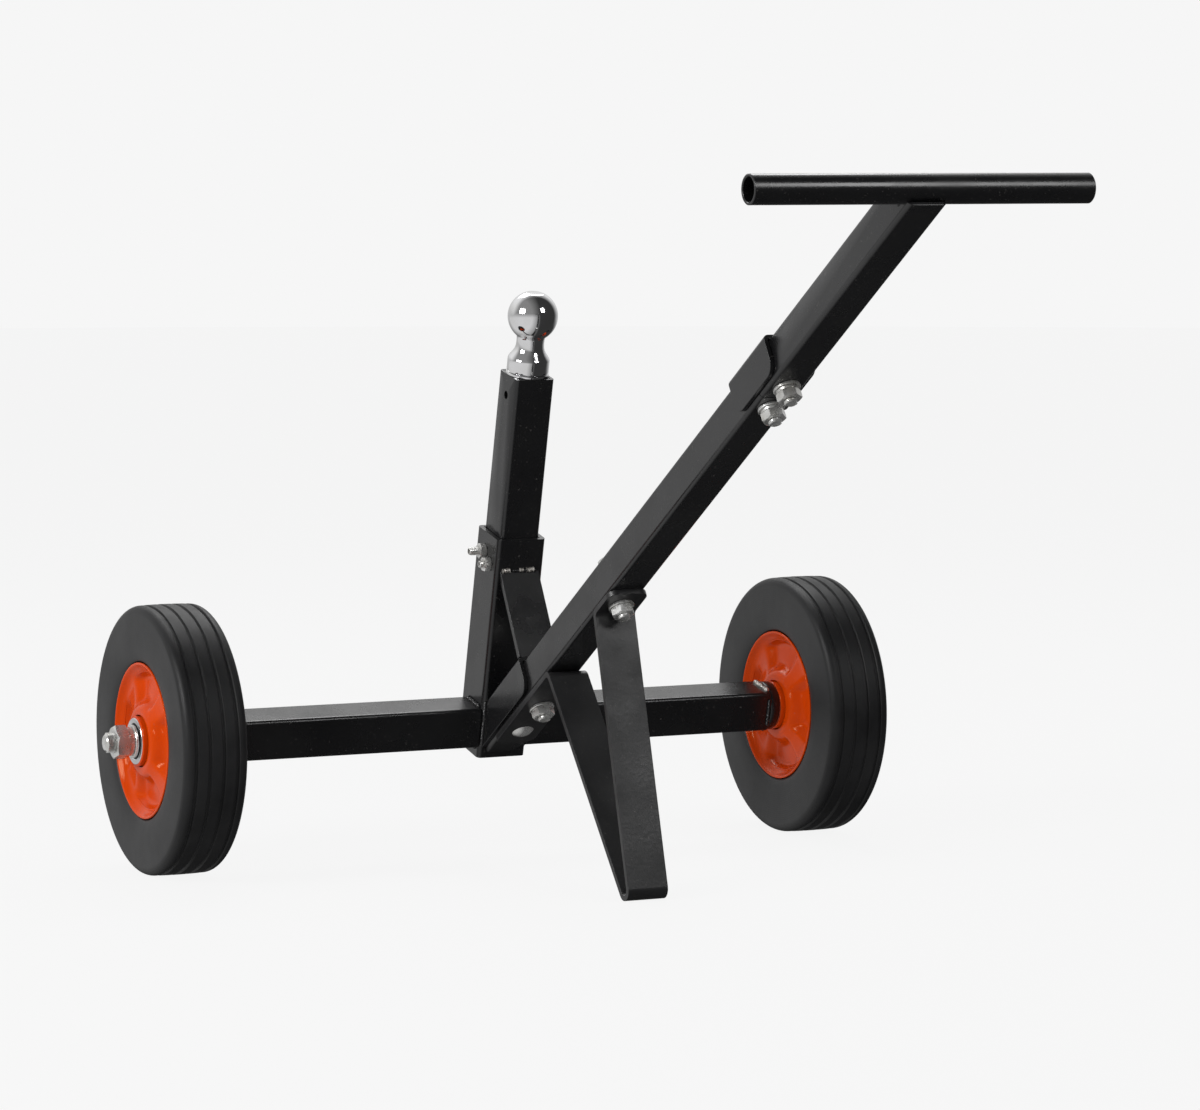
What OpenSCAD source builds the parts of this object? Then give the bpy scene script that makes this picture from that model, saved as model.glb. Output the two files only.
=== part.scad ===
// Two-wheel trailer dolly: a tow ball on a height-adjustable post, a T-handle in two
// bolted lengths, a bent-strap stand and two solid-tyred wheels on ball bearings.
// The welded frame is drawn square in its own axes, with the post upright, and then
// leans towards the handle until the stand and both tyres rest on the floor, Z = 0.
// X runs along the axle and the handle points to -Y. The origin is on the floor,
// in the middle of the whole object.

/* [Wheels] */
// Outside diameter of the solid tyre
tyre_d = 254; // [240:1:266]
// Width of the tyre across its sidewalls
tyre_w = 63.5; // [58:0.5:68]
// Distance between the mid planes of the two wheels
track = 668; // [600:1:740]
// Diameter of the rim where the tyre leaves it open
rim_d = 146; // [140:1:150]
// Number of grooves round the tread
groove_count = 4; // [2:1:5]
// Distance between two grooves
groove_pitch = 13.5; // [8:0.5:14]
// Number of pockets pressed into each rim disc
pocket_count = 4; // [3:1:6]

/* [Hub] */
// Distance between the outer faces of the two bearings in a hub
hub_len = 72; // [66:0.5:76]
// Outside diameter of the hub sleeve
hub_d = 47; // [45:0.5:50]
// Outside diameter of each ball bearing
bearing_d = 40; // [38:0.5:42]
// Diameter of the axle stud
stud_d = 19; // [16:0.5:20]
// Number of balls in a bearing
ball_count = 8; // [6:1:9]

/* [Frame] */
// Angle that the whole frame leans towards the handle
lean = 13.3; // [10:0.1:16]
// Side of the square axle tube
axle_tube = 40; // [36:1:44]
// Side of the square centre post
post_tube = 50; // [48:1:54]
// Height of the centre post's top above the axle's centre line
post_top = 190; // [184:1:220]
// Depth of the centre post's foot below the axle's centre line
post_foot = 30; // [26:1:40]
// Wall of the square tubes
tube_wall = 3; // [2:0.5:4]
// Outside corner radius of the square tubes
tube_corner = 4; // [3:0.5:6]

/* [Ball post] */
// Side of the square ball post
ball_tube = 40; // [38:0.5:40.5]
// Height of the ball post's top above the axle's centre line, fully raised
ball_tube_top = 347; // [320:1:360]
// Height of the ball post's lower end above the axle's centre line
ball_tube_foot = 138; // [130:1:145]
// Diameter of the tow ball
ball_d = 47.6; // [45:0.1:50]
// Height of the ball's centre above the ball post's top
ball_rise = 57; // [52:0.5:62]

/* [Handle] */
// Angle between the handle and the frame's level
handle_angle = 46; // [44:0.5:47]
// Side of the square handle tubes
handle_tube = 35; // [33:0.5:37]
// Length from the centre post's face to the grip bar's centre
handle_len = 970; // [900:5:1000]
// Distance along the handle to the joint between its two lengths
splice_at = 668; // [600:1:700]
// Length of the grip bar
grip_len = 310; // [260:5:360]
// Diameter of the grip bar
grip_d = 25; // [22:0.5:28]

/* [Stand] */
// Width of the flat bar that the stand and brace are made of
strap_w = 40; // [36:1:44]
// Thickness of that flat bar
strap_t = 5; // [4:0.5:6]
// Distance from the centre post's middle forward to the stand's foot
foot_reach = 347; // [320:1:370]
// Distance along the handle to the stand's front bend
front_bend_at = 280; // [270:1:300]
// Distance along the handle to the stand's rear bend
rear_bend_at = 158; // [150:1:175]

/* [Hidden] */
$fn = 96;

tyre_r = tyre_d / 2;
rim_r = rim_d / 2;
handle_half = handle_tube / 2;
post_half = post_tube / 2;
// The post stands a little behind the axle so that their front faces are flush
post_front = axle_tube / 2;
post_mid_y = post_half - post_front;
// Plate of the two folded channel brackets, and how far their sides come down
bracket_t = 4;
bracket_side = 13.5;
bracket_w = handle_tube + 2 * bracket_t + 0.4;
foot_bracket_end = 110;
splice_half = 39;
splice_bolt_pitch = 34;
// The brace starts at the foot bracket's upper end and rises a little steeper than square
brace_at = foot_bracket_end - strap_t / 2;
brace_rise = 3;
brace_half = strap_t / 2 / cos(brace_rise);
foot_bolt_at = 89.5;
foot_button_at = 38;
stand_bolt_at = 297;
stand_flange_end = 320;
stand_rear_end = 12;
bolt_d = 12;
nut_flats = 19;
washer_d = 24;
washer_t = 2.5;
spring_t = 2.5;
nut_h = 8;
bolt_tip = 3;
head_h = 7.5;
// Where the clamp screws go through the centre post: behind the axle's line, and above it
clamp_places = [[-4, 162], [9, 171]];
clamp_d = 8;
cap_t = 5;
shank_nut_h = 10;

// Axle stations of the hub, measured from the object's middle
wheel_x = track / 2;
hub_in = wheel_x - hub_len / 2;
hub_out = wheel_x + hub_len / 2;
collar_t = 10;
lip_depth = 4;
axle_end = hub_in - collar_t;
hub_washer_t = 3;
hub_spring_t = 5;
hub_nut_at = hub_out + hub_washer_t + hub_spring_t;
hub_nut_h = 12.5;
stud_end = hub_nut_at + hub_nut_h + 8.5;

// Bearing section
bearing_w = 12;
bearing_r = bearing_d / 2;
inner_race_r = 12.6;
ball_pitch_r = 14.75;
bearing_ball_r = 2;
seal_in = 13.2;
outer_race_in = 16.9;

// The grip bar's centre in the frame's own axes, and the whole object's length on the floor
grip_y = -(post_front + handle_len * cos(handle_angle));
grip_z = handle_len * sin(handle_angle);
front_reach = -(grip_y * cos(lean) - grip_z * sin(lean)) + grip_d / 2;
axle_y = (front_reach - tyre_r) / 2;

// Stand: radius of the foot's bend on the bar's centre line, and of the two upper bends
foot_bend_r = 7.5;
upper_bend_r = 7;
strap_n = handle_half + strap_t / 2;
foot_z = (-tyre_r + foot_bend_r + strap_t / 2 + foot_reach * sin(lean)) / cos(lean);
foot_centre = [-foot_reach, foot_z];

function on_handle_side(along, below) =
    [-(post_front + along * cos(handle_angle) + below * sin(handle_angle)),
     along * sin(handle_angle) - below * cos(handle_angle)];
function heading(a, b) = atan2(b[1] - a[1], b[0] - a[0]);
function unit(angle) = [cos(angle), sin(angle)];
function cross2(a, b) = a[0] * b[1] - a[1] * b[0];
function meet(p, a, q, b) = p + unit(a) * cross2(q - p, unit(b)) / cross2(unit(a), unit(b));
// Turn from one heading to the next, from -180 to 180 degrees
function turn(a, b) = (b - a + 540) % 360 - 180;

front_bend = on_handle_side(front_bend_at, strap_n);
rear_bend = on_handle_side(rear_bend_at, strap_n);
front_leg = heading(front_bend, foot_centre) - asin(foot_bend_r / norm(foot_centre - front_bend));
rear_leg = heading(rear_bend, foot_centre) - 180 + asin(foot_bend_r / norm(foot_centre - rear_bend));
stand_tip = meet(front_bend, front_leg, rear_bend, rear_leg);
stand_path = [on_handle_side(stand_flange_end, strap_n), front_bend, stand_tip,
    rear_bend, on_handle_side(stand_rear_end, strap_n)];
stand_radii = [0, upper_bend_r, foot_bend_r, upper_bend_r, 0];

// ---- placing ----

module in_frame() {
    translate([0, axle_y, tyre_r]) rotate([lean, 0, 0]) children();
}

// Handle axes inside the frame: +Z runs up the handle and -Y points to its underside
module along_handle(at = 0) {
    translate([0, -post_front, 0]) rotate([90 - handle_angle, 0, 0])
        translate([0, 0, at]) children();
}

// Axle axes: +Z runs outwards along the stud of one side (1 right, -1 left)
module on_axle(side) {
    translate([0, axle_y, tyre_r]) rotate([0, side * 90, 0]) children();
}

module both_sides() {
    for (side = [-1, 1]) on_axle(side) children();
}

// A side view in the frame's Y and Z, given a width along X
module side_plate(width) {
    rotate([90, 0, 90]) linear_extrude(width, center = true) children();
}

// ---- shared shapes ----

module rounded_square(size, r) {
    square([size, size - 2 * r], center = true);
    square([size - 2 * r, size], center = true);
    for (x = [-1, 1], y = [-1, 1])
        translate([x, y] * (size / 2 - r)) circle(r);
}

module square_tube(size, wall, length) {
    linear_extrude(length) difference() {
        rounded_square(size, tube_corner);
        rounded_square(size - 2 * wall, max(tube_corner - wall, 1));
    }
}

// Flat bar bent along a path of points with a bend radius at each inner point
module bent_bar(points, radii, thickness) {
    last = len(points) - 1;
    angles = [for (i = [0:last - 1]) heading(points[i], points[i + 1])];
    setback = [for (i = [0:last]) i == 0 || i == last ? 0
        : radii[i] * tan(abs(turn(angles[i - 1], angles[i])) / 2)];
    // The straights run a hair into the bends, so that they join up
    lap = [for (i = [0:last]) i == 0 || i == last ? 0 : 0.05];
    for (i = [0:last - 1]) {
        straight = norm(points[i + 1] - points[i]) - setback[i] - setback[i + 1] + lap[i] + lap[i + 1];
        translate(points[i] + unit(angles[i]) * (setback[i] - lap[i])) rotate(angles[i])
            translate([0, -thickness / 2]) square([straight, thickness]);
    }
    for (i = [1:last - 1]) {
        bend = turn(angles[i - 1], angles[i]);
        hand = sign(bend);
        outer = radii[i] + thickness / 2;
        centre = points[i] - unit(angles[i - 1]) * setback[i]
            + unit(angles[i - 1] + hand * 90) * radii[i];
        start = angles[i - 1] - hand * 90;
        translate(centre) intersection() {
            difference() {
                circle(outer);
                circle(radii[i] - thickness / 2);
            }
            polygon([[0, 0], for (k = [0:2]) unit(start + bend * k / 2) * outer * 4]);
        }
    }
}

module hex(flats, height) {
    cylinder(d = flats / cos(30), h = height, $fn = 6);
}

// Six-sided nut with chamfered corners on its outer face and a clear hole
module nut(flats, height, hole) {
    difference() {
        intersection() {
            hex(flats, height);
            rotate_extrude() polygon([[0, 0], [flats * 0.58, 0], [flats * 0.58, height - 1.2],
                [flats * 0.5, height], [0, height]]);
        }
        translate([0, 0, -1]) cylinder(d = hole, h = height + 2);
    }
}

// Bolt along +Z with its head below Z = 0 and a chamfered end
module bolt(d, flats, head, length) {
    translate([0, 0, -head]) hex(flats, head);
    rotate_extrude() polygon([[0, -1], [d / 2, -1], [d / 2, length - 1.5],
        [d / 2 - 1.5, length], [0, length]]);
}

module washer(outer, hole, thickness) {
    difference() {
        cylinder(d = outer, h = thickness);
        translate([0, 0, -1]) cylinder(d = hole, h = thickness + 2);
    }
}

// Round hole straight through the handle, from its top to its underside
module handle_hole(at, d = bolt_d + 1) {
    along_handle(at) rotate([90, 0, 0]) cylinder(d = d, h = 4 * handle_tube, center = true);
}

// Three-sided weld fillet seen from the side: its corner and the two ways its legs run
module fillet(corner, way_a, way_b, leg, width) {
    side_plate(width) polygon([corner, corner + unit(way_a) * leg, corner + unit(way_b) * leg]);
}

// ---- wheel ----

module tyre(side) {
    half = tyre_w / 2;
    lip = half - lip_depth;
    on_axle(side) translate([0, 0, wheel_x]) rotate_extrude() difference() {
        union() {
            polygon([[rim_r - 6.5, 9 - lip], [rim_r - 3, 3 - lip], [rim_r + 1, 2.2 - lip],
                [rim_r + 1, -lip], [rim_r + 3, 2.5 - half], [rim_r + 9, 0.6 - half],
                [rim_r + 24, -half], [tyre_r - 10, 0.8 - half], [tyre_r - 10, half - 0.8],
                [rim_r + 24, half], [rim_r + 9, half - 0.6], [rim_r + 3, half - 2.5],
                [rim_r + 1, lip], [rim_r + 1, lip - 2.2], [rim_r - 3, lip - 3], [rim_r - 6.5, lip - 9]]);
            for (y = [-1, 1]) translate([tyre_r - 8.5, y * (half - 8.5)]) circle(8);
            translate([tyre_r - 18, -half + 8.5]) square([17.5, tyre_w - 17]);
            translate([tyre_r - 18, -half + 15]) square([18, tyre_w - 30]);
        }
        for (i = [0:groove_count - 1])
            translate([tyre_r - 2, (i - (groove_count - 1) / 2) * groove_pitch - 1.2]) square([6, 2.4]);
    }
}

// Half of a pressed rim: rolled lip, barrel wall, dished web with pockets, hub flange
module rim_half(side, way) {
    lip = tyre_w / 2 - lip_depth;
    on_axle(side) translate([0, 0, wheel_x]) mirror([0, 0, way < 0 ? 1 : 0]) difference() {
        rotate_extrude() polygon([
            [rim_r + 1, lip - 2.2], [rim_r + 1, lip], [rim_r - 1.5, lip + 0.6], [rim_r - 4, lip - 1],
            [rim_r - 6, lip - 7], [rim_r - 12, lip - 10.5], [rim_r - 24, lip - 10],
            [hub_d / 2 + 10, lip - 3], [hub_d / 2 + 4, lip + 1.5], [hub_d / 2, lip + 2.5],
            [hub_d / 2, lip - 0.5], [hub_d / 2 + 3, lip - 1.3], [hub_d / 2 + 9, lip - 5.6],
            [rim_r - 25, lip - 12.5], [rim_r - 12, lip - 13.2], [rim_r - 9.2, lip - 12],
            [rim_r - 9.2, 0.2], [rim_r - 6.5, 0.2], [rim_r - 6.5, lip - 9], [rim_r - 3, lip - 3]]);
        for (i = [0:pocket_count - 1]) rotate(i * 360 / pocket_count)
            translate([rim_r - 20, 0, lip - 11.2]) cylinder(d = 30, h = 20);
    }
}

module hub_sleeve(side) {
    in_r = bearing_r - 0.5;
    depth = bearing_w + 1;
    on_axle(side) translate([0, 0, hub_in + 1]) difference() {
        cylinder(d = hub_d, h = hub_len - 2);
        translate([0, 0, -1]) cylinder(r = in_r - 3, h = hub_len);
        for (z = [-1, hub_len - 2 - depth + 1]) translate([0, 0, z]) cylinder(r = bearing_r, h = depth);
    }
}

// Places a bearing at each end of a hub, its flanged face outwards
module bearing_seats(side) {
    on_axle(side) {
        translate([0, 0, hub_in]) children();
        translate([0, 0, hub_out]) mirror([0, 0, 1]) children();
    }
}

module bearing_outer_races(side) {
    bearing_seats(side) rotate_extrude() difference() {
        union() {
            translate([outer_race_in, 0.4]) square([bearing_r - outer_race_in, bearing_w - 0.4]);
            translate([outer_race_in, 0.4]) square([21.8 - outer_race_in, 0.6]);
        }
        translate([ball_pitch_r, bearing_w / 2]) circle(bearing_ball_r + 0.35);
    }
}

module bearing_balls(side) {
    bearing_seats(side) for (i = [0:ball_count - 1]) rotate(i * 360 / ball_count)
        translate([ball_pitch_r, 0, bearing_w / 2]) sphere(bearing_ball_r);
}

module bearing_seals(side) {
    bearing_seats(side) for (z = [1.2, bearing_w - 2]) translate([0, 0, z])
        difference() {
            cylinder(r = outer_race_in, h = 0.8);
            translate([0, 0, -1]) cylinder(r = seal_in, h = 3);
        }
}

module bearing_inner_races() {
    for (side = [-1, 1]) bearing_seats(side) difference() {
        cylinder(r = inner_race_r, h = bearing_w);
        translate([0, 0, -1]) cylinder(d = stud_d + 0.1, h = bearing_w + 2);
    }
}

module hub_spacer_sleeves() {
    both_sides() translate([0, 0, hub_in + bearing_w]) difference() {
        cylinder(d = stud_d + 6, h = hub_len - 2 * bearing_w);
        translate([0, 0, -1]) cylinder(d = stud_d + 0.1, h = hub_len);
    }
}

module axle_studs() {
    both_sides() rotate_extrude() polygon([[0, axle_end - 24], [stud_d / 2, axle_end - 24],
        [stud_d / 2, stud_end - 2], [stud_d / 2 - 2, stud_end], [0, stud_end]]);
}

module axle_end_collars() {
    both_sides() translate([0, 0, axle_end]) difference() {
        rotate_extrude() polygon([[0, 0], [24, 0], [24, collar_t - 1.2], [22.8, collar_t], [0, collar_t]]);
        translate([0, 0, -1]) cylinder(d = stud_d, h = collar_t + 2);
    }
}

module hub_washers() {
    both_sides() translate([0, 0, hub_out]) {
        washer(31, stud_d + 0.4, hub_washer_t);
        translate([0, 0, hub_washer_t]) washer(27, stud_d + 0.4, hub_spring_t);
    }
}

module hub_nuts() {
    both_sides() translate([0, 0, hub_nut_at]) nut(28.6, hub_nut_h, stud_d);
}

// ---- welded frame ----

module axle_half(side) {
    translate([0, axle_y, tyre_r]) rotate([lean, 0, 0]) rotate([0, side * 90, 0])
        translate([0, 0, post_half]) square_tube(axle_tube, tube_wall, axle_end - post_half);
}

module centre_post() {
    bore = ball_tube + 1;
    in_frame() difference() {
        translate([0, post_mid_y, -post_foot]) linear_extrude(post_top + post_foot) difference() {
            rounded_square(post_tube, tube_corner);
            rounded_square(bore, 2);
        }
        for (p = clamp_places) translate([-post_half, p[0], p[1]]) rotate([0, 90, 0])
            cylinder(d = clamp_d + 0.1, h = 20, center = true);
    }
}

// Folded channel round the back and sides of the handle, its side corners rounded
module channel(from, to, round_from) {
    corner = 12;
    height = to - from;
    depth = bracket_side + handle_half + bracket_t;
    intersection() {
        translate([0, 0, from]) linear_extrude(height) difference() {
            union() {
                translate([-bracket_w / 2, -bracket_side]) square([bracket_w, depth - tube_corner]);
                translate([0, handle_half + bracket_t - bracket_w / 2]) rounded_square(bracket_w, tube_corner);
            }
            translate([-handle_half - 0.2, -bracket_w]) square([handle_tube + 0.4, bracket_w + handle_half]);
        }
        translate([0, 0, from]) side_plate(2 * bracket_w) translate([-bracket_side, 0]) {
            translate([corner, 0]) square([depth, height]);
            translate([0, round_from ? corner : 0])
                square([corner + 1, height - (round_from ? 2 : 1) * corner]);
            for (z = round_from ? [corner, height - corner] : [height - corner])
                translate([corner, z]) circle(corner);
        }
    }
}

// Everything behind the centre post's front face, which the handle's parts stop at
module behind_post_face(gap = 0) {
    translate([-100, -post_front - gap, -200]) cube([200, 200, 600]);
}

module foot_bracket() {
    in_frame() difference() {
        along_handle() channel(-40, foot_bracket_end, false);
        behind_post_face();
        handle_hole(foot_bolt_at);
    }
}

module brace_strap() {
    reach = 140;
    in_frame() difference() {
        along_handle(brace_at) translate([0, handle_half + bracket_t, 0])
            rotate([brace_rise, 0, 0]) translate([-strap_w / 2, strap_t / 2 * tan(brace_rise), -strap_t / 2])
                cube([strap_w, reach, strap_t]);
        behind_post_face();
    }
}

module handle_lower_tube() {
    in_frame() difference() {
        along_handle(-40) square_tube(handle_tube, tube_wall, splice_at + 40);
        behind_post_face(1);
        handle_hole(foot_bolt_at);
        handle_hole(stand_bolt_at);
        handle_hole(splice_at - splice_bolt_pitch / 2);
        along_handle(foot_button_at) rotate([90, 0, 0]) cylinder(d = bolt_d, h = handle_tube);
    }
}

module handle_upper_tube() {
    in_frame() difference() {
        along_handle(splice_at) square_tube(handle_tube, tube_wall, handle_len - splice_at + 10);
        handle_hole(splice_at + splice_bolt_pitch / 2);
        // Slanted end that stays hidden behind the grip bar
        along_handle(handle_len - 3.8) rotate([-22.4, 0, 0]) translate([-50, -50, 0]) cube([100, 100, 60]);
        along_handle(handle_len) rotate([0, 90, 0]) cylinder(d = grip_d, h = 2 * handle_tube, center = true);
    }
}

module splice_bracket() {
    in_frame() difference() {
        along_handle() channel(splice_at - splice_half, splice_at + splice_half, true);
        for (s = [-1, 1]) handle_hole(splice_at + s * splice_bolt_pitch / 2);
    }
}

module grip_bar() {
    in_frame() translate([0, grip_y, grip_z]) rotate([0, 90, 0]) difference() {
        cylinder(d = grip_d, h = grip_len, center = true);
        cylinder(d = grip_d - 5, h = grip_len + 2, center = true);
    }
}

// The two sharp corners of a flat bar's end on the handle, to be cut off round
module end_corners(at, way) {
    r = 10;
    along_handle(at) rotate([90, 0, 0]) linear_extrude(handle_tube) difference() {
        translate([-strap_w, way > 0 ? -r : 0]) square([2 * strap_w, r]);
        translate([0, way * r]) {
            square([strap_w - 2 * r, 4 * r], center = true);
            for (x = [-1, 1]) translate([x * (strap_w / 2 - r), 0]) circle(r);
        }
    }
}

module stand_strap() {
    in_frame() difference() {
        side_plate(strap_w) bent_bar(stand_path, stand_radii, strap_t);
        handle_hole(stand_bolt_at);
        handle_hole(foot_bolt_at);
        handle_hole(foot_button_at, bolt_d);
        end_corners(stand_rear_end, 1);
        end_corners(stand_flange_end, -1);
    }
}

// ---- ball post ----

module on_ball_post(z) {
    in_frame() translate([0, post_mid_y, z]) children();
}

module ball_post() {
    on_ball_post(ball_tube_foot) difference() {
        square_tube(ball_tube, tube_wall, ball_tube_top - ball_tube_foot);
        translate([0, 0, ball_tube_top - ball_tube_foot - 20]) rotate([0, 90, 0])
            cylinder(d = 8, h = 2 * ball_tube, center = true);
    }
}

module ball_post_cap() {
    on_ball_post(ball_tube_top - cap_t) difference() {
        linear_extrude(cap_t) rounded_square(ball_tube - 2 * tube_wall, max(tube_corner - tube_wall, 1));
        translate([0, 0, -1]) cylinder(d = 19.5, h = cap_t + 2);
    }
}

module tow_ball() {
    r = ball_d / 2;
    neck_r = 13.2;
    base_r = 20;
    on_ball_post(ball_tube_top + 2.5) {
        translate([0, 0, ball_rise - 2.5]) difference() {
            sphere(r);
            translate([0, 0, r - 1.2]) cylinder(r = r, h = r);
        }
        rotate_extrude() polygon([[0, -18], [8, -18], [9.5, -16.5], [9.5, 0], [base_r - 0.8, 0],
            [base_r, 0.8], [base_r, 11], [base_r - 1, 13.5], [neck_r + 2, 19], [neck_r, 25],
            [neck_r, ball_rise - 2.5 - r * 0.7], [0, ball_rise - 2.5 - r * 0.7]]);
    }
}

module ball_washer() {
    on_ball_post(ball_tube_top) washer(41, 20, 2.5);
}

module ball_shank_nut() {
    on_ball_post(ball_tube_top - cap_t - shank_nut_h) nut(27, shank_nut_h, 19);
}

// ---- fasteners ----

// Places a part on the handle's underside, +Z pointing away from the handle
module under_handle(at, below) {
    in_frame() along_handle(at) rotate([90, 0, 0]) translate([0, 0, below]) children();
}

module clamp_screws() {
    tip = -ball_tube / 2 - 0.4;
    r = clamp_d / 2;
    for (i = [0, 1]) in_frame() translate([tip, clamp_places[i][0], clamp_places[i][1]])
        rotate([0, -90, 0]) difference() {
            rotate_extrude() polygon([[0, 0], [r - 1.2, 0], [r, 1.2], [r, 14 + 6 * i],
                [r - 1, 15 + 6 * i], [0, 15 + 6 * i]]);
            translate([0, 0, 12 + 6 * i]) cylinder(d = 4.6, h = 6, $fn = 6);
        }
}

module clamp_lock_nuts() {
    for (p = clamp_places) in_frame() translate([-post_half, p[0], p[1]])
        rotate([0, -90, 0]) nut(13, 6.5, clamp_d);
}

module splice_bolt_places() {
    for (s = [-1, 1]) under_handle(splice_at + s * splice_bolt_pitch / 2, 0) children();
}

module splice_bolts() {
    splice_bolt_places() translate([0, 0, -handle_half - bracket_t])
        bolt(bolt_d, nut_flats, head_h,
            handle_tube + bracket_t + washer_t + spring_t + nut_h + bolt_tip);
}

module splice_washers() {
    splice_bolt_places() translate([0, 0, handle_half]) {
        washer(washer_d, bolt_d + 0.6, washer_t);
        translate([0, 0, washer_t]) washer(20, bolt_d + 0.6, spring_t);
    }
}

module splice_nuts() {
    splice_bolt_places() translate([0, 0, handle_half + washer_t + spring_t])
        nut(nut_flats, nut_h, bolt_d);
}

module stand_bolt() {
    under_handle(stand_bolt_at, -handle_half)
        bolt(bolt_d, nut_flats, head_h, handle_tube + strap_t + washer_t + nut_h + bolt_tip);
}

module stand_washers() {
    under_handle(stand_bolt_at, handle_half + strap_t) washer(washer_d, bolt_d + 0.6, washer_t);
}

module stand_nut() {
    under_handle(stand_bolt_at, handle_half + strap_t + washer_t) nut(nut_flats, nut_h, bolt_d);
}

module foot_bolt() {
    under_handle(foot_bolt_at, -handle_half - bracket_t)
        bolt(bolt_d, nut_flats, head_h, handle_tube + bracket_t + strap_t + washer_t + nut_h + bolt_tip);
}

module foot_washers() {
    under_handle(foot_bolt_at, handle_half + strap_t) washer(washer_d, bolt_d + 0.6, washer_t);
}

module foot_nut() {
    under_handle(foot_bolt_at, handle_half + strap_t + washer_t) nut(nut_flats, nut_h, bolt_d);
}

module foot_button_screw() {
    head_r = 10.5;
    rise = 4.5;
    sphere_r = (head_r * head_r + rise * rise) / (2 * rise);
    under_handle(foot_button_at, handle_half + strap_t) {
        intersection() {
            translate([0, 0, rise - sphere_r]) sphere(sphere_r);
            cylinder(r = head_r + 1, h = rise + 1);
        }
        translate([0, 0, -strap_t - tube_wall - 9]) cylinder(d = bolt_d - 0.2, h = strap_t + tube_wall + 10);
    }
}

module foot_captive_nut() {
    under_handle(foot_button_at, handle_half - tube_wall - 8) nut(nut_flats, 8, bolt_d - 0.2);
}

// ---- welds ----

module weld_beads() {
    flat = strap_w - 2 * tube_corner;
    up = 90;
    up_handle = 180 - handle_angle;
    down_brace = 270 - handle_angle + brace_rise;
    back_n = -handle_half - bracket_t;
    brace_foot = on_handle_side(brace_at + brace_half, back_n);
    in_frame() {
        // Foot bracket and brace to the centre post's front face
        fillet([-post_front, -back_n / cos(handle_angle)], up, up_handle, 4, flat);
        fillet(meet([-post_front, 0], up, brace_foot, down_brace), up, down_brace, 4, flat);
        // Brace to the foot bracket
        fillet(on_handle_side(brace_at - brace_half, back_n), up_handle + 180,
            down_brace + 180, 4, flat);
        for (side = [-1, 1]) scale([side, 1, 1]) {
            // Axle halves to the centre post, over and under
            for (over = [-1, 1]) scale([1, 1, over]) translate([post_half, 0, 0]) rotate(-90)
                fillet([0, axle_tube / 2], 0, up, 4, axle_tube - 2 * tube_corner);
            // Axle halves to their end collars, on all four faces
            for (face = [0:90:270]) rotate([face, 0, 0]) translate([axle_end, 0, 0]) rotate(-90)
                fillet([0, axle_tube / 2], 180, up, 3, 12);
        }
    }
}

// ---- show ----

color("#1b1b1b") tyre(-1);  // tyre_left
color("#e2501a") rim_half(-1, 1);  // rim_outer_left
color("#e2501a") rim_half(-1, -1);  // rim_inner_left
color("#e2501a") hub_sleeve(-1);  // hub_sleeve_left
color("silver") bearing_outer_races(-1);  // bearing_outer_races_left
color("lightgray") bearing_balls(-1);  // bearing_balls_left
color("dimgray") bearing_seals(-1);  // bearing_seals_left
color("#1b1b1b") tyre(1);  // tyre_right
color("#e2501a") rim_half(1, 1);  // rim_outer_right
color("#e2501a") rim_half(1, -1);  // rim_inner_right
color("#e2501a") hub_sleeve(1);  // hub_sleeve_right
color("silver") bearing_outer_races(1);  // bearing_outer_races_right
color("lightgray") bearing_balls(1);  // bearing_balls_right
color("dimgray") bearing_seals(1);  // bearing_seals_right
color("silver") bearing_inner_races();
color("gray") hub_spacer_sleeves();
color("silver") axle_studs();
color("#161616") axle_end_collars();
color("silver") hub_washers();
color("silver") hub_nuts();
color("#161616") axle_half(-1);  // axle_left
color("#161616") axle_half(1);  // axle_right
color("#161616") centre_post();
color("#161616") foot_bracket();
color("#1a1a1a") brace_strap();
color("#161616") handle_lower_tube();
color("#161616") handle_upper_tube();
color("#161616") splice_bracket();
color("#161616") grip_bar();
color("#202020") stand_strap();
color("#161616") ball_post();
color("#161616") ball_post_cap();
color("gainsboro") tow_ball();
color("silver") ball_washer();
color("silver") ball_shank_nut();
color("silver") clamp_screws();
color("silver") clamp_lock_nuts();
color("silver") splice_bolts();
color("silver") splice_washers();
color("silver") splice_nuts();
color("silver") stand_bolt();
color("silver") stand_washers();
color("silver") stand_nut();
color("silver") foot_bolt();
color("silver") foot_washers();
color("silver") foot_nut();
color("silver") foot_button_screw();
color("silver") foot_captive_nut();
color("gray") weld_beads();
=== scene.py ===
"""Looks of a two-wheel trailer dolly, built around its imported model.

Lengths are in millimetres until a piece is placed, then in metres.
"""
import math
import random

import bmesh
import bpy
from mathutils import Matrix, Vector


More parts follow.
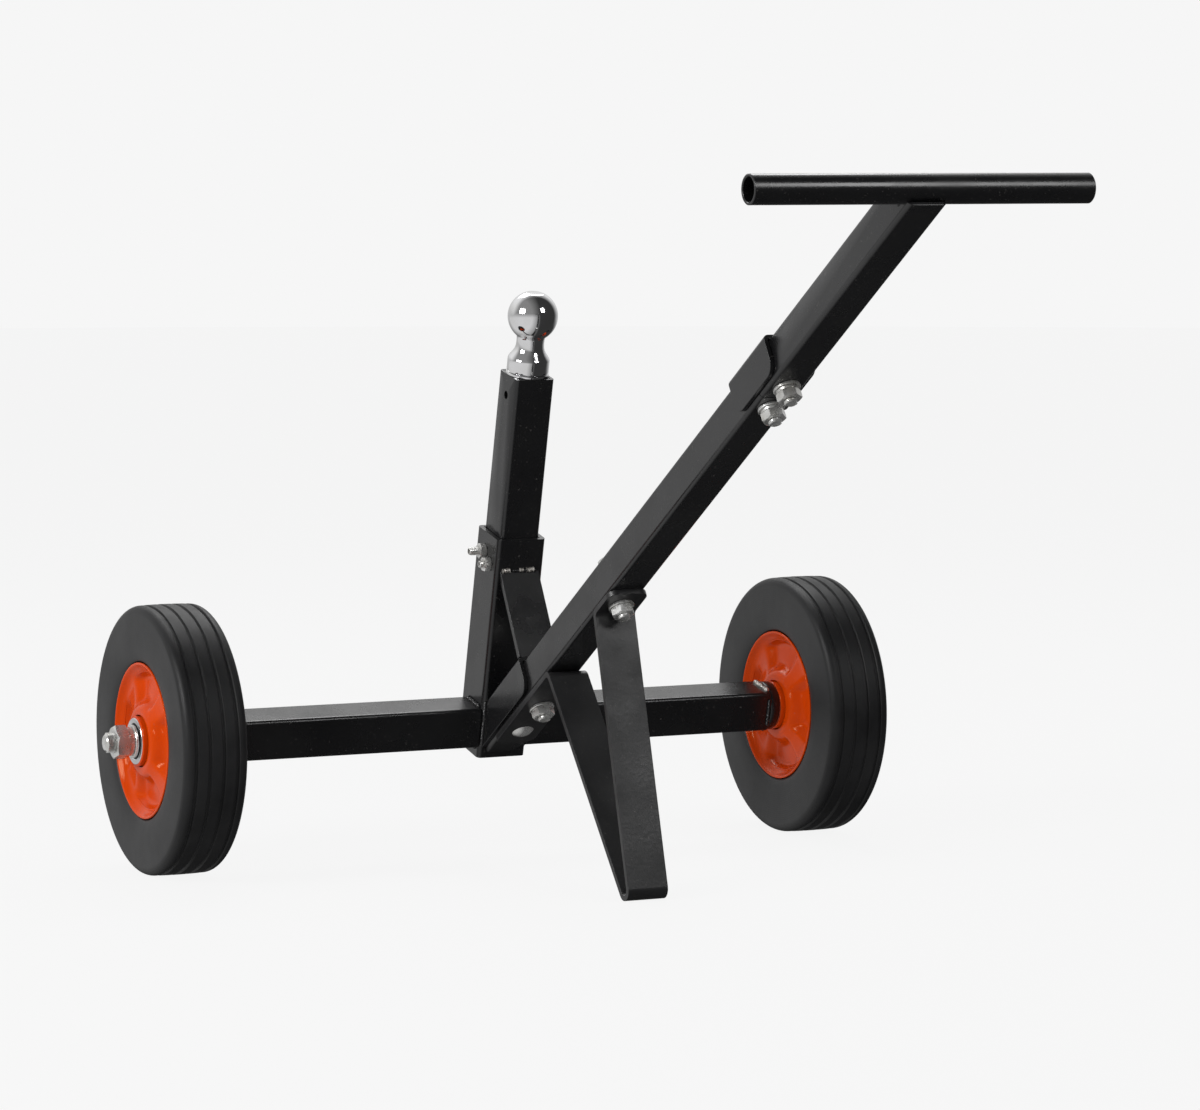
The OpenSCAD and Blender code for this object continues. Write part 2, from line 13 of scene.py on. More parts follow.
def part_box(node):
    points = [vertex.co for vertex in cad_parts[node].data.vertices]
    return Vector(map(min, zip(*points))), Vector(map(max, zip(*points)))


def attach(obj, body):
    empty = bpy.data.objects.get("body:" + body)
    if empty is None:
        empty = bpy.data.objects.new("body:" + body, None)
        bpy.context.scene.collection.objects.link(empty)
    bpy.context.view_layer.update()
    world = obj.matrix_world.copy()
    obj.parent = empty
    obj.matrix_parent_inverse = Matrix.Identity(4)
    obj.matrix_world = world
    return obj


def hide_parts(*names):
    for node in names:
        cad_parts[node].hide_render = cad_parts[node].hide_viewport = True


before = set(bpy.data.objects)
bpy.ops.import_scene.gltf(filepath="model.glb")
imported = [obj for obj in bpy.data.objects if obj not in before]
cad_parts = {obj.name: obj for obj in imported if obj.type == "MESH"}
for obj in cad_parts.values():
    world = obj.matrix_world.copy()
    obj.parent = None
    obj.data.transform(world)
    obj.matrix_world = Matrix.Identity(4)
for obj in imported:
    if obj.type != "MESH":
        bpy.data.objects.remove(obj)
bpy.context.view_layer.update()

MM = 0.001
# How near two points have to be, in metres, for a turned piece to weld them
SEAM = 0.000002
chance = random.Random(11)

# ---- places -------------------------------------------------------------------------

stud_low, stud_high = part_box("axle_studs")
AXLE = Vector((0, (stud_low[1] + stud_high[1]) / 2, (stud_low[2] + stud_high[2]) / 2))
LEAN = math.radians(13.3)
HANDLE_ANGLE = math.radians(46)
POST_FRONT = 20
WHEEL_X = 334
# Sizes that several pieces share
AXLE_TUBE, HANDLE_TUBE = 40, 35
AXLE_END, SPLICE_AT, GRIP_AT = 288, 668, 970
COS_H, SIN_H = math.cos(HANDLE_ANGLE), math.sin(HANDLE_ANGLE)


def moved(x, y, z):
    return Matrix.Translation((x * MM, y * MM, z * MM))


def turned_about(axis, degrees):
    return Matrix.Rotation(math.radians(degrees), 4, axis)


# The leaning frame's axes, the handle's (+Z up the handle, -Y its underside) and the
# post's (+Z up the post)
IN_FRAME = Matrix.Translation(AXLE) @ Matrix.Rotation(LEAN, 4, "X")
ON_HANDLE = IN_FRAME @ moved(0, -POST_FRONT, 0) @ Matrix.Rotation(math.pi / 2 - HANDLE_ANGLE, 4, "X")
ON_POST = IN_FRAME @ moved(0, 5, 0)
# Outwards along each stud
ON_STUD = {side: Matrix.Translation(AXLE) @ turned_about("Y", sign * 90)
           for side, sign in (("left", -1), ("right", 1))}


def under_handle(along, below):
    """A place on the handle's underside, with +Z pointing away from it."""
    return ON_HANDLE @ moved(0, -below, along) @ turned_about("X", 90)


def handle_point(along, below):
    """(y, z) in the leaning frame of a point beside the handle's centre line."""
    return (-(POST_FRONT + along * COS_H + below * SIN_H), along * SIN_H - below * COS_H)


# ---- making pieces ------------------------------------------------------------------

def piece_from(name, points, edges, faces):
    mesh = bpy.data.meshes.new(name)
    mesh.from_pydata([Vector(p) * MM for p in points], edges, faces)
    mesh.update()
    piece = bpy.data.objects.new(name, mesh)
    bpy.context.scene.collection.objects.link(piece)
    return piece


def smooth(mesh, crease=35):
    """Rounds the shading, and keeps every edge sharper than the crease angle."""
    mesh.polygons.foreach_set("use_smooth", [True] * len(mesh.polygons))
    mesh.set_sharp_from_angle(angle=math.radians(crease))
    mesh.update()


def settled(piece, place=Matrix.Identity(4), crease=35):
    """Makes the stack of a piece final, then puts its mesh in place."""
    bpy.context.view_layer.update()
    seen = piece.evaluated_get(bpy.context.evaluated_depsgraph_get())
    mesh = bpy.data.meshes.new_from_object(seen)
    mesh.transform(place)
    piece.modifiers.clear()
    piece.data = mesh
    smooth(mesh, crease)
    return piece


def joined(name, parts):
    """One piece out of several."""
    shell = bmesh.new()
    for part in parts:
        shell.from_mesh(part.data)
    mesh = bpy.data.meshes.new(name)
    shell.to_mesh(mesh)
    shell.free()
    for part in parts:
        bpy.data.objects.remove(part)
    piece = bpy.data.objects.new(name, mesh)
    bpy.context.scene.collection.objects.link(piece)
    return piece


def carved(piece, cutter):
    """Cuts a helper's shape out of a piece whose stack is final."""
    cut = piece.modifiers.new("cut", "BOOLEAN")
    cut.operation = "DIFFERENCE"
    cut.solver = "EXACT"
    cut.object = cutter
    settled(piece)
    bpy.data.objects.remove(cutter)
    return piece


def finished(piece, material, body, slot, *nodes):
    """Gives a piece its material, its body and the CAD nodes it stands for."""
    piece.data.materials.clear()
    piece.data.materials.append(material)
    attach(piece, body)
    if nodes:
        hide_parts(*nodes)
    return piece


def lathed(name, profile, place, steps=72, crease=35):
    """A turned piece about Z. The profile is (radius, height) from its top down, and one
    that ends where it starts is a ring."""
    ring = profile[0] == profile[-1]
    points = profile[:-1] if ring else profile
    edges = [(i, i + 1) for i in range(len(points) - 1)]
    if ring:
        edges.append((len(points) - 1, 0))
    piece = piece_from(name, [(r, 0, z) for r, z in points], edges, [])
    turn = piece.modifiers.new("turn", "SCREW")
    turn.steps = turn.render_steps = steps
    turn.use_merge_vertices = True
    turn.merge_threshold = SEAM
    return settled(piece, place, crease)


def ring_profile(outer, inner, low, high, edge):
    """A plain ring with its four edges broken."""
    return [(inner, high - edge), (inner + edge, high), (outer - edge, high), (outer, high - edge),
            (outer, low + edge), (outer - edge, low), (inner + edge, low), (inner, low + edge),
            (inner, high - edge)]


def thread(name, diameter, pitch, turns, place):
    """A helical screw thread round a core, from Z = 0 up."""
    crest, root = diameter / 2, diameter / 2 - 0.6 * pitch
    flank = [(root, 0, pitch), (crest, 0, pitch * 0.58), (crest, 0, pitch * 0.42), (root, 0, 0)]
    helix = piece_from(name, flank, [(0, 1), (1, 2), (2, 3)], [])
    turn = helix.modifiers.new("helix", "SCREW")
    turn.screw_offset = pitch * MM
    turn.iterations = turns
    turn.steps = turn.render_steps = 28
    turn.use_merge_vertices = True
    turn.merge_threshold = SEAM
    return settled(helix, place, 25)


def hexagon(name, flats, height, hole, place, both=False, spin=0):
    """A hexagon nut or head whose corners are turned off at the top, or at both ends."""
    count, flat_r = 72, flats / 2
    turned_r = flat_r * 0.95
    rings = []
    for k in range(count):
        a = math.tau * k / count
        reach = flat_r / math.cos((a + math.pi / 6) % (math.pi / 3) - math.pi / 6)
        drop = (reach - turned_r) * 0.5
        low = drop if both else 0
        rings.append([(hole + 0.5, height), (turned_r, height), (reach, height - drop), (reach, low),
                      (turned_r, 0), (hole + 0.5, 0), (hole, 0.5), (hole, height - 0.5)])
    wide = len(rings[0])
    points = [(r * math.cos(math.tau * k / count + spin), r * math.sin(math.tau * k / count + spin), z)
              for k, ring in enumerate(rings) for r, z in ring]
    faces = [(k * wide + j, k * wide + (j + 1) % wide,
              (k + 1) % count * wide + (j + 1) % wide, (k + 1) % count * wide + j)
             for k in range(count) for j in range(wide)]
    return settled(piece_from(name, points, [], faces), place, 20)


def rim_edges(piece, width, angle=50):
    """Breaks a piece's sharp edges and keeps its flats flat in the shading."""
    edge = piece.modifiers.new("broken edges", "BEVEL")
    edge.limit_method = "ANGLE"
    edge.angle_limit = math.radians(angle)
    edge.width = width * MM
    edge.segments = 2
    flats = piece.modifiers.new("flat flats", "WEIGHTED_NORMAL")
    flats.keep_sharp = True
    piece.data.polygons.foreach_set("use_smooth", [True] * len(piece.data.polygons))


def fold_edges(piece, edges, radius):
    """Rounds the named edges of a sheet, as a press brake or a tube mill does."""
    weights = piece.data.attributes.new("bevel_weight_edge", "FLOAT", "EDGE")
    wanted = {frozenset(e) for e in edges}
    for edge in piece.data.edges:
        weights.data[edge.index].value = 1.0 if frozenset(edge.vertices) in wanted else 0.0
    fold = piece.modifiers.new("folds", "BEVEL")
    fold.limit_method = "WEIGHT"
    fold.width = radius * MM
    fold.segments = 6


def walled(piece, wall, offset=-1):
    solid = piece.modifiers.new("wall", "SOLIDIFY")
    solid.thickness = wall * MM
    solid.offset = offset
    solid.use_even_offset = True


def square_tube(name, size, wall, corner, start, stop, place):
    """A square tube along Z. Start and stop are its ends on the -Y side and the +Y side."""
    h = size / 2
    around = [(-h, -h, 0), (h, -h, 0), (h, h, 1), (-h, h, 1)]
    points = [(x, y, start[i]) for x, y, i in around] + [(x, y, stop[i]) for x, y, i in around]
    faces = [(k, (k + 1) % 4, (k + 1) % 4 + 4, k + 4) for k in range(4)]
    tube = piece_from(name, points, [], faces)
    tube.data.transform(place)
    fold_edges(tube, [(k, k + 4) for k in range(4)], corner)
    walled(tube, wall)
    rim_edges(tube, 0.5)
    return tube


def arc_points(centre, radius, first, last, count):
    return [(centre[0] + radius * math.cos(math.radians(first + (last - first) * k / count)),
             centre[1] + radius * math.sin(math.radians(first + (last - first) * k / count)))
            for k in range(count + 1)]


def channel(name, half_width, web, tips, low_web, low_tip, high, round_low, place):
    """A folded channel along Z: web at +Y, flanges down to the tips, free corners round."""
    r = 12
    upper = arc_points((tips + r, high - r), r, 180, 90, 8)
    lower = arc_points((tips + r, low_tip + r), r, 270, 180, 8) if round_low else [(tips, low_tip)]
    outline = [(web, low_web)] + lower + upper + [(web, high)]
    count = len(outline)
    points = [(-half_width, y, z) for y, z in outline] + [(half_width, y, z) for y, z in outline]
    faces = [tuple(range(count)), tuple(reversed(range(count, 2 * count))),
             (0, count - 1, 2 * count - 1, count)]
    piece = piece_from(name, points, [], faces)
    piece.data.transform(place)
    fold_edges(piece, [(0, count - 1), (count, 2 * count - 1)], 5)
    walled(piece, 4)
    rim_edges(piece, 0.5)
    return piece


def plate(name, corners, half_width, place, edge=0.5):
    """A flat bar seen edge on: its (y, z) corners, given its half width along X."""
    count = len(corners)
    points = [(-half_width, y, z) for y, z in corners] + [(half_width, y, z) for y, z in corners]
    faces = [tuple(range(count)), tuple(reversed(range(count, 2 * count)))]
    faces += [(k, k + count, (k + 1) % count + count, (k + 1) % count) for k in range(count)]
    piece = piece_from(name, points, [], faces)
    piece.data.transform(place)
    rim_edges(piece, edge)
    return piece


def round_end(tip, inwards, width, end_r):
    """Rows (place, half width) of a strap's end with round corners, from its tip inwards."""
    return [(tip + inwards.normalized() * end_r * (1 - math.cos(math.pi / 12 * k)),
             width / 2 - end_r + end_r * math.sin(math.pi / 12 * k)) for k in range(7)]


def bent_strap(name, path, radii, width, thickness, end_r, place):
    """A flat bar bent along a path in (y, z), with the corners of both its ends round."""
    path = [Vector(p) for p in path]
    line = [path[0]]
    for i in range(1, len(path) - 1):
        back, on = (path[i - 1] - path[i]).normalized(), (path[i + 1] - path[i]).normalized()
        half = back.angle(on) / 2
        middle = path[i] + (back + on).normalized() * radii[i] / math.sin(half)
        first = path[i] + back * radii[i] / math.tan(half)
        last = path[i] + on * radii[i] / math.tan(half)
        a0 = math.atan2(*reversed(first - middle))
        sweep = math.atan2(*reversed(last - middle)) - a0
        sweep = (sweep + math.pi) % math.tau - math.pi
        line += [middle + Vector((math.cos(a0 + sweep * k / 12), math.sin(a0 + sweep * k / 12))) * radii[i]
                 for k in range(13)]
    line.append(path[-1])
    rows = round_end(line[0], line[1] - line[0], width, end_r)
    rows += [(p, width / 2) for p in line[1:-1]]
    rows += reversed(round_end(line[-1], line[-2] - line[-1], width, end_r))
    points = [(side * half, p.x, p.y) for p, half in rows for side in (-1, 1)]
    faces = [(2 * k, 2 * k + 1, 2 * k + 3, 2 * k + 2) for k in range(len(rows) - 1)]
    piece = piece_from(name, points, [], faces)
    piece.data.transform(place)
    walled(piece, thickness, 0)
    rim_edges(piece, 0.7)
    return piece


def weld_bead(name, start, stop, size, place, step=1.5, uneven=0.05):
    """A rippled weld bead between two points: a row of overlapping drops, run in one pass."""
    start, stop = Vector(start), Vector(stop)
    along = (stop - start).normalized()
    side = along.orthogonal().normalized()
    up = along.cross(side)
    length = (stop - start).length
    drops = max(4, int(length / step))
    rings, sides = drops * 3, 10
    points = []
    for k in range(rings + 1):
        t = k / rings
        phase = t * drops % 1
        ripple = 0.86 + 0.2 * math.sqrt(max(0.0, 1 - (2 * phase - 1) ** 2))
        taper = min(1, math.sin(math.pi * min(t, 1 - t) * 6 + 0.25)) if min(t, 1 - t) < 1 / 12 else 1
        r = size * ripple * taper * chance.uniform(1 - uneven, 1 + uneven)
        drift = (side * chance.uniform(-1, 1) + up * chance.uniform(-1, 1)) * size * uneven
        for j in range(sides):
            a = math.tau * j / sides
            points.append(start + along * length * t + drift + (side * math.cos(a) + up * math.sin(a)) * r)
    faces = [(k * sides + j, k * sides + (j + 1) % sides, (k + 1) * sides + (j + 1) % sides,
              (k + 1) * sides + j) for k in range(rings) for j in range(sides)]
    faces += [tuple(reversed(range(sides))), tuple(rings * sides + j for j in range(sides))]
    return settled(piece_from(name, points, [], faces), place, 60)


# ---- materials ----------------------------------------------------------------------

def bare_material(name):
    """A material with no nodes in it yet, its nodes and its links."""
    mat = bpy.data.materials.new(name)
    mat.use_nodes = True
    mat.node_tree.nodes.clear()
    return mat, mat.node_tree.nodes, mat.node_tree.links


def coated_steel(name, colour, faded, rough_low, rough_high, peel_scale, peel_height, shine=0.5,
                 tint=(1, 1, 1)):
    """Powder coat or enamel on steel: uneven tone, orange peel, dust and fine rub marks."""
    mat, nodes, links = bare_material(name)

    tone_frame = nodes.new("NodeFrame")
    tone_frame.label = "Uneven tone and settled dust"
    finish_frame = nodes.new("NodeFrame")
    finish_frame.label = "Gloss broken by handling"
    skin_frame = nodes.new("NodeFrame")
    skin_frame.label = "Orange peel and rub marks"

    place = nodes.new("ShaderNodeTexCoord")
    place.label = "Place on the piece"
    clouds = nodes.new("ShaderNodeTexNoise")
    clouds.label = "Thick and thin coat"
    tone = nodes.new("ShaderNodeValToRGB")
    tone.label = "Coat from deep to faded"
    dust = nodes.new("ShaderNodeTexNoise")
    dust.label = "Dust specks"
    dust_amount = nodes.new("ShaderNodeMapRange")
    dust_amount.label = "Only the densest dust shows"
    dusty = nodes.new("ShaderNodeMix")
    dusty.label = "Dust over the coat"
    smears = nodes.new("ShaderNodeTexNoise")
    smears.label = "Handling smears"
    gloss = nodes.new("ShaderNodeMapRange")
    gloss.label = "Gloss between clean and smeared"
    stretch = nodes.new("ShaderNodeMapping")
    stretch.label = "Draws the rub marks out"
    rubs = nodes.new("ShaderNodeTexNoise")
    rubs.label = "Fine rub marks"
    rub_depth = nodes.new("ShaderNodeBump")
    rub_depth.label = "Rub marks cut the coat a little"
    peel = nodes.new("ShaderNodeTexNoise")
    peel.label = "Orange peel"
    peel_depth = nodes.new("ShaderNodeBump")
    peel_depth.label = "Peel height"
    shader = nodes.new("ShaderNodeBsdfPrincipled")
    shader.label = "Coated steel"
    out = nodes.new("ShaderNodeOutputMaterial")
    for node in (clouds, tone, dust, dust_amount, dusty):
        node.parent = tone_frame
    for node in (smears, gloss):
        node.parent = finish_frame
    for node in (stretch, rubs, rub_depth, peel, peel_depth):
        node.parent = skin_frame
    for node, x, y in ((place, -1300, 0), (clouds, -1000, 500), (tone, -760, 500), (dust, -1000, 260),
                       (dust_amount, -760, 260), (dusty, -460, 420), (smears, -1000, -20),
                       (gloss, -700, -20), (stretch, -1060, -300), (rubs, -820, -300),
                       (rub_depth, -560, -300), (peel, -820, -560), (peel_depth, -320, -420),
                       (shader, 0, 200), (out, 320, 200)):
        node.location = (x, y)

    clouds.inputs["Scale"].default_value = 7
    clouds.inputs["Detail"].default_value = 4
    tone.color_ramp.elements[0].position = 0.35
    tone.color_ramp.elements[0].color = (*colour, 1)
    tone.color_ramp.elements[1].position = 0.75
    tone.color_ramp.elements[1].color = (*faded, 1)
    dust.inputs["Scale"].default_value = 420
    dust.inputs["Detail"].default_value = 2
    dust_amount.inputs["From Min"].default_value = 0.66
    dust_amount.inputs["From Max"].default_value = 0.8
    dust_amount.inputs["To Max"].default_value = 0.25
    dusty.data_type = "RGBA"
    dusty.inputs["B"].default_value = (0.16, 0.15, 0.14, 1)
    smears.inputs["Scale"].default_value = 22
    smears.inputs["Detail"].default_value = 5
    gloss.inputs["From Min"].default_value = 0.3
    gloss.inputs["From Max"].default_value = 0.7
    gloss.inputs["To Min"].default_value = rough_low
    gloss.inputs["To Max"].default_value = rough_high
    stretch.inputs["Rotation"].default_value = (0.4, 0.2, 0.7)
    stretch.inputs["Scale"].default_value = (30, 30, 900)
    rubs.inputs["Scale"].default_value = 1
    rubs.inputs["Detail"].default_value = 3
    rub_depth.inputs["Strength"].default_value = 0.05
    rub_depth.inputs["Distance"].default_value = 0.0001
    peel.inputs["Scale"].default_value = peel_scale
    peel.inputs["Detail"].default_value = 2
    peel_depth.inputs["Strength"].default_value = 0.6
    peel_depth.inputs["Distance"].default_value = peel_height
    shader.inputs["Specular IOR Level"].default_value = shine
    shader.inputs["Specular Tint"].default_value = (*tint, 1)

    for node in (clouds, dust, smears, stretch, peel):
        links.new(place.outputs["Object"], node.inputs["Vector"])
    links.new(clouds.outputs["Fac"], tone.inputs["Fac"])
    links.new(dust.outputs["Fac"], dust_amount.inputs["Value"])
    links.new(dust_amount.outputs["Result"], dusty.inputs["Factor"])
    links.new(tone.outputs["Color"], dusty.inputs["A"])
    links.new(dusty.outputs["Result"], shader.inputs["Base Color"])
    links.new(smears.outputs["Fac"], gloss.inputs["Value"])
    links.new(gloss.outputs["Result"], shader.inputs["Roughness"])
    links.new(stretch.outputs["Vector"], rubs.inputs["Vector"])
    links.new(rubs.outputs["Fac"], rub_depth.inputs["Height"])
    links.new(peel.outputs["Fac"], peel_depth.inputs["Height"])
    links.new(rub_depth.outputs["Normal"], peel_depth.inputs["Normal"])
    links.new(peel_depth.outputs["Normal"], shader.inputs["Normal"])
    links.new(shader.outputs["BSDF"], out.inputs["Surface"])
    return mat


def moulded_rubber(name, colour, bloom, centre, ring_height):
    """Solid rubber: grey bloom, mould rings about the axle and a fine grain."""
    mat, nodes, links = bare_material(name)

    tone_frame = nodes.new("NodeFrame")
    tone_frame.label = "Bloom and road dust"
    mould_frame = nodes.new("NodeFrame")
    mould_frame.label = "Rings and grain left by the mould"

    place = nodes.new("ShaderNodeTexCoord")
    place.label = "Place on the tyre"
    centred = nodes.new("ShaderNodeMapping")
    centred.label = "Measured from the wheel's middle"
    bloom_clouds = nodes.new("ShaderNodeTexNoise")
    bloom_clouds.label = "Patches of bloom"
    tone = nodes.new("ShaderNodeValToRGB")
    tone.label = "Fresh rubber to bloomed rubber"
    matt = nodes.new("ShaderNodeMapRange")
    matt.label = "Bloom is duller"
    reach = nodes.new("ShaderNodeVectorMath")
    reach.label = "How far out on the tyre"
    tread_dull = nodes.new("ShaderNodeMapRange")
    tread_dull.label = "Tread shines less than the side"
    rings = nodes.new("ShaderNodeTexWave")
    rings.label = "Turned mould rings"
    ring_depth = nodes.new("ShaderNodeBump")
    ring_depth.label = "Ring height"
    grain = nodes.new("ShaderNodeTexNoise")
    grain.label = "Rubber grain"
    grain_depth = nodes.new("ShaderNodeBump")
    grain_depth.label = "Grain height"
    shader = nodes.new("ShaderNodeBsdfPrincipled")
    shader.label = "Rubber"
    out = nodes.new("ShaderNodeOutputMaterial")
    for node in (centred, rings, ring_depth, grain, grain_depth):
        node.parent = mould_frame
    for node in (bloom_clouds, tone, matt, reach, tread_dull):
        node.parent = tone_frame
    for node, x, y in ((place, -1200, 0), (centred, -960, -260), (bloom_clouds, -900, 300),
                       (tone, -620, 400), (matt, -620, 140), (reach, -640, -60),
                       (tread_dull, -420, -60), (rings, -720, -260),
                       (ring_depth, -460, -260), (grain, -720, -560), (grain_depth, -260, -360),
                       (shader, 0, 200), (out, 320, 200)):
        node.location = (x, y)

    centred.inputs["Location"].default_value = [-c for c in centre]
    bloom_clouds.inputs["Scale"].default_value = 14
    bloom_clouds.inputs["Detail"].default_value = 6
    bloom_clouds.inputs["Roughness"].default_value = 0.6
    tone.color_ramp.elements[0].position = 0.38
    tone.color_ramp.elements[0].color = (*colour, 1)
    tone.color_ramp.elements[1].position = 0.72
    tone.color_ramp.elements[1].color = (*bloom, 1)
    matt.inputs["From Min"].default_value = 0.35
    matt.inputs["From Max"].default_value = 0.7
    matt.inputs["To Min"].default_value = 0.42
    matt.inputs["To Max"].default_value = 0.6
    reach.operation = "LENGTH"
    tread_dull.inputs["From Min"].default_value = 0.1225
    tread_dull.inputs["From Max"].default_value = 0.127
    tread_dull.inputs["To Min"].default_value = 0.42
    tread_dull.inputs["To Max"].default_value = 0.2
    rings.wave_type = "RINGS"
    rings.rings_direction = "X"
    rings.inputs["Scale"].default_value = 150
    rings.inputs["Distortion"].default_value = 0.6
    rings.inputs["Detail"].default_value = 2
    ring_depth.inputs["Strength"].default_value = 0.35
    ring_depth.inputs["Distance"].default_value = ring_height
    grain.inputs["Scale"].default_value = 1500
    grain.inputs["Detail"].default_value = 3
    grain_depth.inputs["Strength"].default_value = 0.4
    grain_depth.inputs["Distance"].default_value = 0.00012

    for node in (bloom_clouds, centred, grain):
        links.new(place.outputs["Object"], node.inputs["Vector"])
    links.new(bloom_clouds.outputs["Fac"], tone.inputs["Fac"])
    links.new(tone.outputs["Color"], shader.inputs["Base Color"])
    links.new(bloom_clouds.outputs["Fac"], matt.inputs["Value"])
    links.new(matt.outputs["Result"], shader.inputs["Roughness"])
    links.new(centred.outputs["Vector"], reach.inputs["Vector"])
    links.new(reach.outputs["Value"], tread_dull.inputs["Value"])
    links.new(tread_dull.outputs["Result"], shader.inputs["Specular IOR Level"])
    links.new(centred.outputs["Vector"], rings.inputs["Vector"])
    links.new(rings.outputs["Fac"], ring_depth.inputs["Height"])
    links.new(grain.outputs["Fac"], grain_depth.inputs["Height"])
    links.new(ring_depth.outputs["Normal"], grain_depth.inputs["Normal"])
    links.new(grain_depth.outputs["Normal"], shader.inputs["Normal"])
    links.new(shader.outputs["BSDF"], out.inputs["Surface"])
    return mat


def bright_metal(name, colour, stain, rough_low, rough_high, grain_scale, grain_height, metallic=1.0):
    """Plated or ground steel: faint staining, smudges and a fine grain."""
    mat, nodes, links = bare_material(name)

    tone_frame = nodes.new("NodeFrame")
    tone_frame.label = "Stains in the plating"
    grain_frame = nodes.new("NodeFrame")
    grain_frame.label = "Smudges and grain"

    place = nodes.new("ShaderNodeTexCoord")
    place.label = "Place on the piece"
    patches = nodes.new("ShaderNodeTexNoise")
    patches.label = "Stained patches"
    tone = nodes.new("ShaderNodeValToRGB")
    tone.label = "Clean to stained plating"
    smudges = nodes.new("ShaderNodeTexNoise")
    smudges.label = "Smudges"
    polish = nodes.new("ShaderNodeMapRange")
    polish.label = "Polish from clean to smudged"
    drawn = nodes.new("ShaderNodeMapping")
    drawn.label = "Grain drawn out one way"
    grain = nodes.new("ShaderNodeTexNoise")
    grain.label = "Fine grain"
    depth = nodes.new("ShaderNodeBump")
    depth.label = "Grain height"
    shader = nodes.new("ShaderNodeBsdfPrincipled")
    shader.label = "Bright metal"
    out = nodes.new("ShaderNodeOutputMaterial")
    for node in (patches, tone):
        node.parent = tone_frame
    for node in (smudges, polish, drawn, grain, depth):
        node.parent = grain_frame
    for node, x, y in ((place, -1200, 0), (patches, -900, 320), (tone, -620, 320), (smudges, -900, 60),
                       (polish, -620, 60), (drawn, -960, -240), (grain, -700, -240),
                       (depth, -420, -240), (shader, 0, 200), (out, 320, 200)):
        node.location = (x, y)

    patches.inputs["Scale"].default_value = 60
    patches.inputs["Detail"].default_value = 5
    tone.color_ramp.elements[0].position = 0.4
    tone.color_ramp.elements[0].color = (*colour, 1)
    tone.color_ramp.elements[1].position = 0.75
    tone.color_ramp.elements[1].color = (*stain, 1)
    smudges.inputs["Scale"].default_value = 110
    smudges.inputs["Detail"].default_value = 4
    polish.inputs["From Min"].default_value = 0.35
    polish.inputs["From Max"].default_value = 0.7
    polish.inputs["To Min"].default_value = rough_low
    polish.inputs["To Max"].default_value = rough_high
    drawn.inputs["Scale"].default_value = grain_scale
    grain.inputs["Scale"].default_value = 1
    grain.inputs["Detail"].default_value = 2
    depth.inputs["Strength"].default_value = 0.4
    depth.inputs["Distance"].default_value = grain_height
    shader.inputs["Metallic"].default_value = metallic

    for node in (patches, smudges, drawn):
        links.new(place.outputs["Object"], node.inputs["Vector"])
    links.new(patches.outputs["Fac"], tone.inputs["Fac"])
    links.new(tone.outputs["Color"], shader.inputs["Base Color"])
    links.new(smudges.outputs["Fac"], polish.inputs["Value"])
    links.new(polish.outputs["Result"], shader.inputs["Roughness"])
    links.new(drawn.outputs["Vector"], grain.inputs["Vector"])
    links.new(grain.outputs["Fac"], depth.inputs["Height"])
    links.new(depth.outputs["Normal"], shader.inputs["Normal"])
    links.new(shader.outputs["BSDF"], out.inputs["Surface"])
    return mat


black_coat = coated_steel("black_powder_coat", (0.0034, 0.0034, 0.0038), (0.0062, 0.0062, 0.0066),
                          0.2, 0.34, 520, 0.00006)
strap_coat = coated_steel("strap_powder_coat", (0.0052, 0.0052, 0.0056), (0.0105, 0.0105, 0.011),
                          0.32, 0.5, 260, 0.00022)
orange_enamel = coated_steel("orange_enamel", (0.47, 0.042, 0.001), (0.40, 0.033, 0.001),
                             0.12, 0.2, 300, 0.00003, 0.14, (1.0, 0.7, 0.42))
chrome = bright_metal("ball_chrome", (0.80, 0.80, 0.81), (0.70, 0.70, 0.69), 0.05, 0.12,
                      (500, 500, 500), 0.000004)
zinc = bright_metal("bright_zinc", (0.68, 0.68, 0.67), (0.46, 0.45, 0.42), 0.2, 0.38,
                    (700, 700, 700), 0.00002, 0.87)
ground_steel = bright_metal("ground_bearing_steel", (0.70, 0.70, 0.71), (0.58, 0.58, 0.58), 0.14, 0.26,
                            (300, 1800, 1800), 0.00001)
# Bright metal for the upward-facing weld beads only
bright_weld = bright_metal("bright_weld", (0.50, 0.48, 0.45), (0.22, 0.20, 0.18), 0.3, 0.55,
                         (900, 900, 900), 0.00008, 0.9)
tyre_rubber = {side: moulded_rubber("tyre_rubber_" + side, (0.0062, 0.0062, 0.0066), (0.011, 0.011, 0.0115),
                                    AXLE + Vector((sign * WHEEL_X * MM, 0, 0)), 0.00006)
               for side, sign in (("left", -1), ("right", 1))}
seal_rubber = moulded_rubber("seal_rubber", (0.012, 0.012, 0.012), (0.02, 0.02, 0.02), AXLE, 0.00004)


def black_coated(piece, node, body="frame"):
    """A powder-coated piece that stands for one node."""
    finished(piece, black_coat, body, "black_paint", node)


def plated(parts, node):
    """One zinc-plated piece out of several, that stands for one node of the frame."""
    finished(joined(node, parts), zinc, "frame", "zinc_steel", node)


# ---- wheels -------------------------------------------------------------------------

TYRE_R = 127.0
GROOVES = (-20.25, -6.75, 6.75, 20.25)
GROOVE_DEPTH = 2.0
SHOULDER_R, SHOULDER_AT, SHOULDER_OUT = 8, 118.5, 23.25
POCKET_DEPTH = 7.5


def tread_radius(x):
    """Radius of the tread at a distance from the wheel's middle, grooves included."""
    reach = abs(x)
    r = TYRE_R - 0.5 * (reach / SHOULDER_OUT) ** 2
    gap = min(abs(x - g) for g in GROOVES)
    return r - GROOVE_DEPTH * max(0.0, min(1.0, (1.9 - gap) / 0.9))


